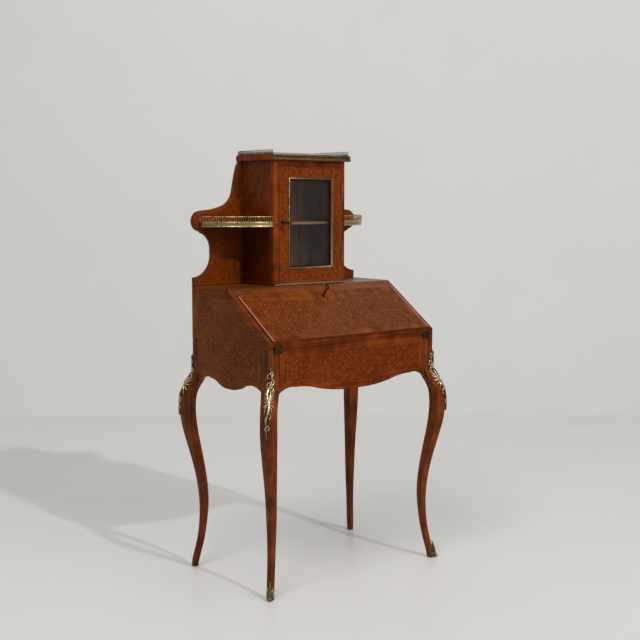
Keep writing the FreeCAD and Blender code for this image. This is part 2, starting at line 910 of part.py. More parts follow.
# The fitting behind the fall: a middle pigeonhole, and a drawer under two pigeonholes each side
fitting_front = slope_reach(top_underside) + s.lock_rail_depth + s.fitting_setback
fitting_depth = back_panel_front - fitting_front
bay_x = s.middle_bay_width / 2 + s.fitting_board
shelf_low = s.writing_height + s.drawer_bay_height
bay_middle = (bay_x + inner_x) / 2


def make_fitting():
    uprights = []
    shelves = []
    short_uprights = []
    for side, inner_low, outer_low, middle_low in (
        ("left", -bay_x, -inner_x, -(bay_middle + s.fitting_board / 2)),
        ("right", s.middle_bay_width / 2, bay_x, bay_middle - s.fitting_board / 2),
    ):
        uprights.append(
            box(
                f"upright_{side}",
                (inner_low, fitting_front, s.writing_height),
                (s.fitting_board, fitting_depth, top_underside - s.writing_height),
            )
        )
        shelves.append(
            box(
                f"pigeonhole_shelf_{side}",
                (outer_low, fitting_front, shelf_low),
                (inner_x - bay_x, fitting_depth, s.fitting_board),
            )
        )
        short_uprights.append(
            box(
                f"short_upright_{side}",
                (middle_low, fitting_front, shelf_low + s.fitting_board),
                (s.fitting_board, fitting_depth, top_underside - shelf_low - s.fitting_board),
            )
        )
    return [
        group("pigeonhole_uprights", *uprights),
        group("pigeonhole_shelves", *shelves),
        group("pigeonhole_short_uprights", *short_uprights),
    ]


def make_knob():
    """A turned knob about +Z, whose stem goes through the drawer front."""
    body = doc.addObject("PartDesign::Body", "knob_turning")
    stem = s.knob_stem_radius
    ball = s.knob_radius
    length = s.knob_length
    outline = [
        (nought, -s.drawer_front_thickness),
        (stem, -s.drawer_front_thickness),
        (stem, length * 0.4),
        (ball, length * 0.62),
        (ball * 0.7, length),
        (nought, length),
    ]
    sketch = sketch_on(body, "knob_outline", "XZ_Plane", nought)
    draw_outline(sketch, outline)
    turning = body.newObject("PartDesign::Revolution", "knob_revolution")
    turning.Profile = sketch
    turning.ReferenceAxis = (sketch, ["V_Axis"])
    turning.Angle = 360
    return body


def make_drawers(knob):
    pieces = []
    drawer_width = inner_x - bay_x - 2 * s.drawer_gap
    drawer_height = s.drawer_bay_height - 2 * s.drawer_gap
    tray_depth = fitting_depth - s.drawer_front_thickness - s.drawer_back_room
    low_z = s.writing_height + s.drawer_gap
    front_turn = Rotation(Vector(1, 0, 0), 90)
    for side, low_x in (("left", -inner_x + s.drawer_gap), ("right", bay_x + s.drawer_gap)):
        knob_place = (low_x + drawer_width / 2, fitting_front, low_z + drawer_height / 2)
        front_blank = box(
            f"drawer_front_{side}_blank",
            (low_x, fitting_front, low_z),
            (drawer_width, s.drawer_front_thickness, drawer_height),
        )
        stem_hole = cylinder(
            f"drawer_front_{side}_hole", knob_place, s.knob_stem_radius,
            s.drawer_front_thickness, "Y"
        )
        tray_blank = box(
            f"drawer_tray_{side}_blank",
            (low_x, fitting_front + s.drawer_front_thickness, low_z),
            (drawer_width, tray_depth, drawer_height - s.drawer_side_thickness),
        )
        wall = s.drawer_side_thickness
        hollow = box(
            f"drawer_tray_{side}_hollow",
            (
                low_x + wall,
                fitting_front + s.drawer_front_thickness - s.overrun,
                low_z + s.drawer_bottom_thickness,
            ),
            (drawer_width - wall * 2, tray_depth - wall + s.overrun, drawer_height),
        )
        turned = doc.addObject("Part::Compound", f"drawer_knob_{side}")
        turned.Links = [knob]
        move_to(turned, knob_place, front_turn)
        pieces += [
            cut(f"drawer_front_{side}", front_blank, stem_hole),
            cut(f"drawer_tray_{side}", tray_blank, hollow),
            turned,
        ]
    return pieces


# Right half of the back board above the plinth step, as shares of the half width of the carcass
# and of the board's height: an arc's middle and end, or a straight run's end
wing_shares = [
    (1.000, 0.000),
    (1.000, 0.066),
    (0.868, 0.112, 0.8025, 0.274),
    (0.825, 0.365, 0.915, 0.424),
    (0.922, 0.434),
    (1.009, 0.517, 0.903, 0.601),
    (0.897, 0.603),
    (0.768, 0.615, 0.643, 0.646),
    (0.577, 0.692, 0.545, 0.746),
    (0.516, 0.871, 0.489, 0.960),
    (0.464, 1.000),
]


def make_back_board():
    right = []
    for point in wing_shares:
        placed = []
        for index, share in enumerate(point):
            placed.append(half_width * share if index % 2 == 0 else carcass_top + s.cabinet_height * share)
        right.append(tuple(placed))
    left = mirrored(right)
    outline = right + [(-right[-1][0], right[-1][1])] + left
    return board("back_board", "Y", outline, back - s.back_board_thickness, s.back_board_thickness)


# The cabinet stands on the top board against the back board; its own top hangs over it
cabinet_x = s.cabinet_width / 2
cabinet_front = slope_reach(carcass_top) + s.cabinet_setback
cabinet_back = back - s.back_board_thickness
stile_back = cabinet_front + s.stile_thickness
cabinet_inner_x = cabinet_x - s.cabinet_side_thickness
opening_left = -(cabinet_x - s.left_stile_width)
opening_right = cabinet_x - s.right_stile_width
cabinet_floor_top = carcass_top + s.cabinet_floor_thickness
opening_top = cabinet_top_underside - s.top_rail_height
hinge_axis_x = opening_right - s.door_gap / 2
hinge_axis_y = cabinet_front - s.hinge_standoff
cabinet_shelf_height = carcass_top + s.cabinet_height * cabinet_shelf_share
cabinet_top_x = cabinet_x + s.cabinet_top_side_overhang
cabinet_top_front = cabinet_front - s.cabinet_top_front_overhang


def make_cabinet(lock, hinge_rooms):
    side_depth = cabinet_back - stile_back
    pegs = []
    peg_extent = (s.peg_length, s.peg_width, s.peg_width)
    for side, low_x in (("left", -cabinet_inner_x - s.peg_length / 3),
                        ("right", cabinet_inner_x - s.peg_length * 2 / 3)):
        for row, y in (("front", stile_back + side_depth / 4), ("rear", cabinet_back - side_depth / 4)):
            peg_low = (low_x, y - s.peg_width / 2, cabinet_shelf_height - s.peg_width)
            pegs.append(box(f"peg_{side}_{row}", peg_low, peg_extent))
    sides = []
    for side, low_x in (("left", -cabinet_x), ("right", cabinet_inner_x)):
        blank = box(
            f"cabinet_side_{side}_blank",
            (low_x, stile_back, carcass_top),
            (s.cabinet_side_thickness, side_depth, s.cabinet_height),
        )
        own_pegs = pegs[:2] if side == "left" else pegs[2:]
        sides.append(cut(f"cabinet_side_{side}", blank, *own_pegs))
    left_stile_blank = box(
        "cabinet_stile_left_blank",
        (-cabinet_x, cabinet_front, carcass_top),
        (s.left_stile_width, s.stile_thickness, s.cabinet_height),
    )
    right_stile_blank = box(
        "cabinet_stile_right_blank",
        (opening_right, cabinet_front, carcass_top),
        (s.right_stile_width, s.stile_thickness, s.cabinet_height),
    )
    left_stile = cut("cabinet_stile_left", left_stile_blank, lock.mortise)
    right_stile = cut("cabinet_stile_right", right_stile_blank, *hinge_rooms)
    floor_blank = box(
        "cabinet_floor_blank",
        (-cabinet_inner_x, cabinet_front, carcass_top),
        (cabinet_inner_x * 2, cabinet_back - cabinet_front, s.cabinet_floor_thickness),
    )
    floor = cut("cabinet_floor", floor_blank, left_stile_blank, right_stile_blank)
    top_rail = box(
        "cabinet_top_rail",
        (opening_left, cabinet_front, opening_top),
        (opening_right - opening_left, s.stile_thickness, s.top_rail_height),
    )
    shelf_front = stile_back + s.cabinet_shelf_setback
    shelf = box(
        "cabinet_shelf",
        (-cabinet_inner_x, shelf_front, cabinet_shelf_height),
        (cabinet_inner_x * 2, cabinet_back - shelf_front, s.cabinet_shelf_thickness),
    )
    base_blank = box(
        "base_moulding_blank",
        (-cabinet_x, cabinet_front - s.base_moulding_reach, carcass_top),
        (s.cabinet_width, s.base_moulding_reach, s.base_moulding_height),
    )
    nose_y = (cabinet_front - s.base_moulding_reach).value
    nose_z = (carcass_top + s.base_moulding_height).value
    base = round_edges(
        "base_moulding",
        base_blank,
        s.base_moulding_reach * 0.8,
        lambda middle: abs(middle.y - nose_y) < 0.01 and abs(middle.z - nose_z) < 0.01,
    )
    return [*sides, left_stile, right_stile, floor, top_rail, shelf, group("shelf_pegs", *pegs), base]


def make_cabinet_top():
    """The cabinet's top board, with a rounded nose on its front and two ends."""
    blank = box(
        "cabinet_top_blank",
        (-cabinet_top_x, cabinet_top_front, cabinet_top_underside),
        (cabinet_top_x * 2, back - cabinet_top_front, s.cabinet_top_thickness),
    )
    middle_z = (cabinet_top_underside + s.cabinet_top_thickness / 2).value

    def on_nose(middle):
        level = abs(middle.z - middle_z) > 0.01
        on_end = abs(abs(middle.x) - cabinet_top_x.value) < 0.01
        on_front = abs(middle.y - cabinet_top_front.value) < 0.01
        return level and (on_end or on_front)

    return round_edges("cabinet_top", blank, s.cabinet_top_nose, on_nose)


def pierced_strip(name, facing, low, high, start):
    """One side of the gallery: a strip with a row of lozenge holes and a notch after each."""
    low_z = cabinet_top_underside + s.cabinet_top_thickness
    high_z = low_z + s.top_gallery_height
    strip = s.top_gallery_thickness
    body = board(name, facing, rectangle((low, low_z), (high, high_z)), start, strip)
    length = high - low
    count = int((length.value - s.piercing_width.value) / s.piercing_pitch.value)
    first = low + (length - s.piercing_pitch * (count - 1)) / 2
    middle_z = low_z + s.top_gallery_height * 0.46
    lozenge = [
        (first - s.piercing_width / 2, middle_z),
        (first, middle_z - s.piercing_height / 2),
        (first + s.piercing_width / 2, middle_z),
        (first, middle_z + s.piercing_height / 2),
    ]
    notch_x = first + s.piercing_pitch / 2
    notch = [
        (notch_x - s.piercing_width / 3, high_z + strip),
        (notch_x, high_z - s.top_gallery_height * 0.18),
        (notch_x + s.piercing_width / 3, high_z + strip),
    ]
    role = "XZ_Plane" if facing == "Y" else "YZ_Plane"
    offset = -(start + strip * 2) if facing == "Y" else start - strip
    sketch = sketch_on(body, f"{name}_piercing", role, offset)
    draw_outline(sketch, lozenge, notch)
    hole = body.newObject("PartDesign::Pocket", f"{name}_hole")
    hole.Profile = sketch
    hole.Reversed = True
    bind(hole, "Length", strip * 3)
    row = body.newObject("PartDesign::LinearPattern", f"{name}_holes")
    row.Originals = [hole]
    row.Direction = (sketch, ["H_Axis"])
    bind(row, "Length", s.piercing_pitch * (count - 1))
    row.Occurrences = count
    body.Tip = row
    return body


def make_top_gallery():
    """The pierced gallery round the cabinet's top: two sides and the back, open in front."""
    reach_x = cabinet_top_x - s.top_gallery_side_inset
    front_y = cabinet_top_front + s.top_gallery_front_inset
    back_y = back - s.top_gallery_side_inset
    strip = s.top_gallery_thickness
    left = pierced_strip("gallery_left", "X", front_y, back_y, -reach_x)
    right = pierced_strip("gallery_right", "X", front_y, back_y, reach_x - strip)
    rear = pierced_strip("gallery_rear", "Y", -reach_x, reach_x, back_y - strip)
    return fuse("top_gallery", left, right, rear)


def make_door(lock, hinge_rooms):
    left = opening_left + s.door_gap
    right = opening_right - s.door_gap
    low = cabinet_floor_top + s.door_gap
    high = opening_top - s.door_gap
    glass_left = left + s.door_stile_width
    glass_right = right - s.door_stile_width
    glass_low = low + s.door_bottom_rail_height
    glass_high = high - s.door_top_rail_height

    def frame(name, outset, width, start, depth):
        """A four-sided frame in the opening, from its outer edge inwards."""
        outer = rectangle(
            (glass_left + outset, glass_low + outset), (glass_right - outset, glass_high - outset)
        )
        inset = outset + width
        inner = rectangle(
            (glass_left + inset, glass_low + inset), (glass_right - inset, glass_high - inset)
        )
        return board(name, "Y", outer, start, depth, inner)

    stiles = []
    for side, low_x, tools in (("left", left, [lock.recess]), ("right", glass_right, hinge_rooms)):
        blank = box(
            f"door_stile_{side}_blank",
            (low_x, cabinet_front, low),
            (s.door_stile_width, s.stile_thickness, high - low),
        )
        stiles.append(cut(f"door_stile_{side}", blank, *tools))
    rails = []
    for name, low_z, height in (
        ("bottom", low, s.door_bottom_rail_height),
        ("top", glass_high, s.door_top_rail_height),
    ):
        rails.append(
            box(
                f"door_rail_{name}",
                (glass_left, cabinet_front, low_z),
                (glass_right - glass_left, s.stile_thickness, height),
            )
        )
    moulding_back = cabinet_front + s.moulding_depth - s.moulding_rise
    moulding = frame("door_moulding", nought, s.moulding_width,
                     cabinet_front - s.moulding_rise, s.moulding_depth)
    glass = box(
        "door_glass",
        (glass_left + s.glass_edge_gap, moulding_back, glass_low + s.glass_edge_gap),
        (
            glass_right - glass_left - s.glass_edge_gap * 2,
            s.glass_thickness,
            glass_high - glass_low - s.glass_edge_gap * 2,
        ),
    )
    beads = frame("glazing_beads", nought, s.bead_width, moulding_back + s.glass_thickness,
                  s.bead_depth)
    return [*stiles, *rails, moulding, glass, beads]


def make_door_hinges():
    """Two butt hinges let into the edges of the door and the right stile."""
    fixed_pieces = []
    moving_pieces = []
    stile_rooms = []
    door_rooms = []
    half = s.door_hinge_length / 2
    leaf = s.hinge_standoff + s.door_hinge_leaf
    extent = (s.leaf_thickness, leaf, s.door_hinge_length)
    fixed_x = s.door_gap / 2
    moving_x = -(s.door_gap / 2) - s.leaf_thickness
    for level, z in (
        ("lower", carcass_top + s.lower_hinge_rise),
        ("upper", cabinet_top_underside - s.upper_hinge_drop),
    ):
        fixed, moving = make_hinge(
            f"door_hinge_{level}",
            "Z",
            s.door_hinge_length,
            (fixed_x, nought, -half),
            (moving_x, nought, -half),
            extent,
        )
        axis = (hinge_axis_x, hinge_axis_y, z)
        for piece in (fixed, moving):
            move_to(piece, axis)
        fixed_pieces.append(fixed)
        moving_pieces.append(moving)
        for rooms, side, offset in ((stile_rooms, "stile", fixed_x), (door_rooms, "door", moving_x)):
            rooms.append(
                box(
                    f"{side}_{level}_hinge_room",
                    (hinge_axis_x + offset, hinge_axis_y, z - half),
                    extent,
                )
            )
    leaves = [
        group("door_hinge_fixed_leaves", *fixed_pieces),
        group("door_hinge_moving_leaves", *moving_pieces),
    ]
    return leaves, stile_rooms, door_rooms


shelf_radius = half_width - cabinet_x - s.shelf_margin
shelf_top = carcass_top + s.cabinet_height * corner_shelf_share


def make_shelf(name):
    """The right corner shelf about its own corner: a quarter disc of wood."""
    body = doc.addObject("PartDesign::Body", name)
    radius = shelf_radius - s.shelf_band_thickness
    slant = radius / math.sqrt(2)
    outline = [(nought, nought), (nought, -radius), (slant, -slant, radius, nought)]
    pad_outline(body, name, "XY_Plane", shelf_top - s.shelf_thickness, s.shelf_thickness, outline)
    return body


def make_shelf_gallery(name):
    """The brass round a shelf: a band on its edge, balusters, and a rail on top of them."""
    body = doc.addObject("PartDesign::Body", name)
    outer = shelf_radius
    inner = outer - s.shelf_band_thickness
    outer_slant = outer / math.sqrt(2)
    inner_slant = inner / math.sqrt(2)
    ring = [
        (inner, nought),
        (inner_slant, -inner_slant, nought, -inner),
        (nought, -outer),
        (outer_slant, -outer_slant, outer, nought),
    ]
    band_low = shelf_top + s.cabinet_shelf_setback / 4 - s.shelf_band_height
    band_top = band_low + s.shelf_band_height
    rail_low = band_top + s.shelf_gallery_height - s.gallery_rail_height
    pad_outline(body, f"{name}_band", "XY_Plane", band_low, s.shelf_band_height, ring)
    first_y = -(s.baluster_width * 1.5)
    foot = rectangle((inner, first_y), (outer - s.shelf_band_thickness * 0.1,
                                        first_y + s.baluster_width))
    baluster = pad_outline(body, f"{name}_baluster", "XY_Plane", band_top, rail_low - band_top, foot)
    row = body.newObject("PartDesign::PolarPattern", f"{name}_balusters")
    row.Originals = [baluster]
    upright = next(item for item in body.Origin.OriginFeatures if item.Role == "Z_Axis")
    row.Axis = (upright, [""])
    row.Reversed = True
    row.Angle = 90 - 2 * math.degrees(math.atan2(s.baluster_width.value, outer.value))
    row.Occurrences = balusters_per_shelf
    body.Tip = row
    pad_outline(body, f"{name}_rail", "XY_Plane", rail_low, s.gallery_rail_height, ring)
    return body


def make_corner_shelves():
    place = (cabinet_x, cabinet_back, nought)
    pieces = []
    for name, maker in (("corner_shelf", make_shelf), ("shelf_gallery", make_shelf_gallery)):
        right = maker(f"{name}_right")
        move_to(right, place)
        pieces += [mirror(f"{name}_left", right, Vector(1, 0, 0)), right]
    return pieces


def build_desk():
    """Every sub-part of the desk, each of them a node."""
    legs = make_legs()
    fall_lock = make_lock(
        "fall_lock",
        (nought, *slope_point(fall_top - s.fall_key_inset, s.fall_proud)),
        slope_turn,
        s.fall_key_inset,
        s.fall_thickness,
        s.fall_bolt_throw,
        s.fall_top_gap,
    )
    door_edge = opening_left + s.door_gap
    door_lock = make_lock(
        "door_lock",
        (
            door_edge + s.door_key_inset,
            cabinet_front,
            carcass_top + s.cabinet_height * door_key_share,
        ),
        door_lock_turn,
        s.door_key_inset,
        s.stile_thickness,
        s.door_bolt_throw,
        s.door_gap,
    )
    door_leaves, stile_rooms, door_rooms = make_door_hinges()
    knob = make_knob()
    nodes = [
        *legs,
        *make_carcass(legs, fall_lock.mortise),
        *make_mounts(legs),
        *make_fitting(),
        *make_drawers(knob),
        *make_fall(fall_lock),
        *make_fall_hinges(),
        make_back_board(),
        *make_cabinet(door_lock, stile_rooms),
        make_cabinet_top(),
        make_top_gallery(),
        *make_door(door_lock, door_rooms),
        *door_leaves,
        *make_corner_shelves(),
    ]
    for lock in (fall_lock, door_lock):
        nodes += [lock.case, lock.bolt, lock.key]
    return nodes


def check_and_export(nodes):
    """Stop on any failed object or bad shape, then write every node's solid."""
    doc.recompute()
    for item in doc.Objects:
        if {"Invalid", "Error"} & set(item.State):
            raise RuntimeError(f"{item.Name} failed: {item.State}")
    for node in nodes:
        if node.Shape.isNull() or not node.Shape.isValid() or not node.Shape.Solids:
            raise RuntimeError(f"{node.Name} has no valid solid")
    os.makedirs("parts", exist_ok=True)
    for node in nodes:
        node.Label = node.Name
        node.Shape.exportStep(os.path.join("parts", f"{node.Label}.step"))
    print(f"{len(nodes)} nodes written")


check_and_export(build_desk())
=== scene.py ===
import sys
import logging
import math
import random
from dataclasses import dataclass, field
from enum import Enum
from typing import Callable, Iterable, Optional, Sequence, Union

import bmesh
import bpy
from mathutils import Matrix, Vector
from mathutils.bvhtree import BVHTree


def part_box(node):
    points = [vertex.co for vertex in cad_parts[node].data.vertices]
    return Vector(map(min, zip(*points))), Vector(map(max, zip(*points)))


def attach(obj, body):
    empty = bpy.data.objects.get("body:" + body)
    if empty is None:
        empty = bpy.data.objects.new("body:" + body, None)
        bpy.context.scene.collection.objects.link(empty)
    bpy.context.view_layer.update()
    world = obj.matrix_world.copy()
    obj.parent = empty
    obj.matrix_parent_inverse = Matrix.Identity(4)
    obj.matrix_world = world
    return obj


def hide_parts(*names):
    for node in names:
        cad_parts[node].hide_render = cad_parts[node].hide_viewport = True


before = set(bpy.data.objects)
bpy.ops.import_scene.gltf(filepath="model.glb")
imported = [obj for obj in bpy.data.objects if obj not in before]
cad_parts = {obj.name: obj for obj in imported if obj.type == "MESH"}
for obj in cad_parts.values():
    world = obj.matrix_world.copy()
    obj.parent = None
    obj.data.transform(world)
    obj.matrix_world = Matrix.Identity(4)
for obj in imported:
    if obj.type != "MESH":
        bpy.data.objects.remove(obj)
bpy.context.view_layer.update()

# A lady's slant-front writing desk. Lengths are in metres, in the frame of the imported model;
# the profiles of turned and moulded work are in mm.

log = logging.getLogger("writing_desk")
MM = 0.001
Mesh = bmesh.types.BMesh
Material = bpy.types.Material
Node = bpy.types.Node
Piece = bpy.types.Object
Socket = bpy.types.NodeSocket
Value = Union[Socket, float]
Colour = tuple[float, float, float]
Point = tuple[float, float]
Path = Sequence[Vector]

VECTOR = "NodeSocketVector"
COLOUR = "NodeSocketColor"
NUMBER = "NodeSocketFloat"

SLOPE = math.radians(34.0)
SLOPE_UP = Vector((0.0, math.cos(SLOPE), math.sin(SLOPE)))
SLOPE_OUT = Vector((0.0, -math.sin(SLOPE), math.cos(SLOPE)))
ACROSS_X = Vector((1.0, 0.0, 0.0))
ALONG_Y = Vector((0.0, 1.0, 0.0))
UPRIGHT = Vector((0.0, 0.0, 1.0))
FORWARD = Vector((0.0, -1.0, 0.0))
LEFTWARD = Vector((-1.0, 0.0, 0.0))
FRONT_LEFT = Vector((-1.0, -1.0, 0.0)).normalized()


def darker(colour: Colour, share: float) -> Colour:
    """A colour with its three parts multiplied by a share."""
    return tuple(share * part for part in colour)


# Node trees


class Tree:
    """A node tree with short ways to add nodes and arithmetic."""

    def __init__(self, tree: bpy.types.NodeTree) -> None:
        """Wrap a tree; new nodes are set out from left to right."""
        self.tree = tree
        self.column = 0

    def add(self, kind: str, **settings: object) -> Node:
        """Add a node.

        Args:
            kind: The node's type name.
            settings: Properties to set on it.

        Returns:
            The new node.
        """
        node = self.tree.nodes.new(kind)
        node.location = (self.column * 40, -(self.column % 7) * 160)
        self.column += 1
        for name, value in settings.items():
            setattr(node, name, value)
        return node

    def feed(self, target: Socket, value: object) -> None:
        """Link a socket to an input, or write a plain value into it.

        Args:
            target: The input.
            value: An output socket, a number, a colour or a vector.
        """
        if isinstance(value, bpy.types.NodeSocket):
            self.tree.links.new(value, target)
        elif isinstance(value, (tuple, list)) and len(value) == 3 and target.type == "RGBA":
            target.default_value = (*value, 1.0)
        else:
            target.default_value = value

    def feed_all(self, node: Node, **inputs: object) -> Node:
        """Feed several inputs of a node.

        Args:
            node: The node.
            inputs: Values by input name, with _ for a space.

        Returns:
            The node.
        """
        for name, value in inputs.items():
            self.feed(node.inputs[name.replace("_", " ")], value)
        return node

    def group(self, shared: bpy.types.NodeTree, **inputs: object) -> Node:
        """Place a shared group and feed its inputs by name."""
        return self.feed_all(self.add("ShaderNodeGroup", node_tree=shared), **inputs)

    def math(self, operation: str, *values: Value, clamp: bool = False) -> Socket:
        """Do arithmetic on numbers.

        Args:
            operation: A Math node's operation.
            values: Its inputs in order.
            clamp: Whether the result is held between 0 and 1.

        Returns:
            The result's socket.
        """
        node = self.add("ShaderNodeMath", operation=operation, use_clamp=clamp)
        for socket, value in zip(node.inputs, values):
            self.feed(socket, value)
        return node.outputs[0]

    def plus(self, first: Value, second: Value, clamp: bool = False) -> Socket:
        """Add two numbers."""
        return self.math("ADD", first, second, clamp=clamp)

    def minus(self, first: Value, second: Value) -> Socket:
        """Take the second number from the first."""
        return self.math("SUBTRACT", first, second)

    def times(self, first: Value, second: Value) -> Socket:
        """Multiply two numbers."""
        return self.math("MULTIPLY", first, second)

    def inverse(self, mask: Value) -> Socket:
        """A mask with 0 and 1 exchanged."""
        return self.minus(1.0, mask)

    def size(self, value: Value) -> Socket:
        """A number without its sign."""
        return self.math("ABSOLUTE", value)

    def over(self, value: Value, limit: Value) -> Socket:
        """1 where a number is over a limit, else 0."""
        return self.math("GREATER_THAN", value, limit)

    def under(self, value: Value, limit: Value) -> Socket:
        """1 where a number is under a limit, else 0."""
        return self.math("LESS_THAN", value, limit)

    def vector(self, operation: str, first: Socket, second: object) -> Node:
        """Do arithmetic on two vectors.

        Args:
            operation: A Vector Math node's operation.
            first: The first vector.
            second: The second vector, or three numbers.

        Returns:
            The node.
        """
        node = self.add("ShaderNodeVectorMath", operation=operation)
        self.feed(node.inputs[0], first)
        self.feed(node.inputs[1], second)
        return node

    def dot(self, vector: Socket, direction: Vector) -> Socket:
        """Measure a vector along a fixed direction."""
        return self.vector("DOT_PRODUCT", vector, tuple(direction)).outputs["Value"]

    def combine(self, x: Value, y: Value, z: Value = 0.0) -> Socket:
        """Join three numbers into a vector."""
        return self.feed_all(self.add("ShaderNodeCombineXYZ"), X=x, Y=y, Z=z).outputs[0]

    def split(self, vector: Socket) -> list[Socket]:
        """The three numbers of a vector."""
        return list(self.feed_all(self.add("ShaderNodeSeparateXYZ"), Vector=vector).outputs)

    def grey(self, value: Socket) -> Socket:
        """A number as a colour with three equal parts."""
        return self.combine(value, value, value)

    def mix(self, factor: Value, first: object, second: object, way: str = "MIX") -> Socket:
        """Mix two colours.

        Args:
            factor: How much of the second.
            first: The first colour.
            second: The second colour.
            way: The Mix node's blend type.

        Returns:
            The mixed colour's socket.
        """
        node = self.add("ShaderNodeMix", data_type="RGBA", blend_type=way)
        self.feed(node.inputs[0], factor)
        self.feed(node.inputs[6], first)
        self.feed(node.inputs[7], second)
        return node.outputs[2]

    def noise(self, vector: Socket, scale: float, detail: float = 3.0) -> Socket:
        """A noise value between 0 and 1."""
        node = self.add("ShaderNodeTexNoise")
        return self.feed_all(node, Vector=vector, Scale=scale, Detail=detail).outputs[0]

    def streaks(self, vector: Socket, factors: Sequence[float], detail: float) -> Socket:
        """Noise drawn out by three factors, each the noise's scale in that direction."""
        return self.noise(self.vector("MULTIPLY", vector, factors).outputs[0], 1.0, detail)

    def step(self, value: Value, low: float, high: float) -> Socket:
        """A smooth mask that climbs from 0 at low to 1 at high."""
        node = self.add("ShaderNodeMapRange", interpolation_type="SMOOTHSTEP")
        return self.feed_all(node, Value=value, From_Min=low, From_Max=high).outputs[0]

    def stored(self, name: str) -> Socket:
        """The number that a mesh stores at its corners under a name."""
        return self.add("ShaderNodeAttribute", attribute_name=name).outputs["Fac"]

    def place(self) -> Socket:
        """The point of the object, in metres."""
        return self.add("ShaderNodeTexCoord").outputs["Object"]


def new_group(name: str, inputs: dict[str, tuple[str, object]],
              outputs: dict[str, str]) -> tuple[Tree, Node, Node]:
    """Start a shared shader group.

    Args:
        name: The group's name.
        inputs: Socket kind and default value by input name.
        outputs: Socket kind by output name.

    Returns:
        The tree, its input node and its output node.
    """
    shared = bpy.data.node_groups.new(name, "ShaderNodeTree")
    for label, (kind, default) in inputs.items():
        socket = shared.interface.new_socket(label, in_out="INPUT", socket_type=kind)
        if default is not None:
            socket.default_value = default
    for label, kind in outputs.items():
        shared.interface.new_socket(label, in_out="OUTPUT", socket_type=kind)
    tree = Tree(shared)
    return tree, tree.add("NodeGroupInput"), tree.add("NodeGroupOutput")


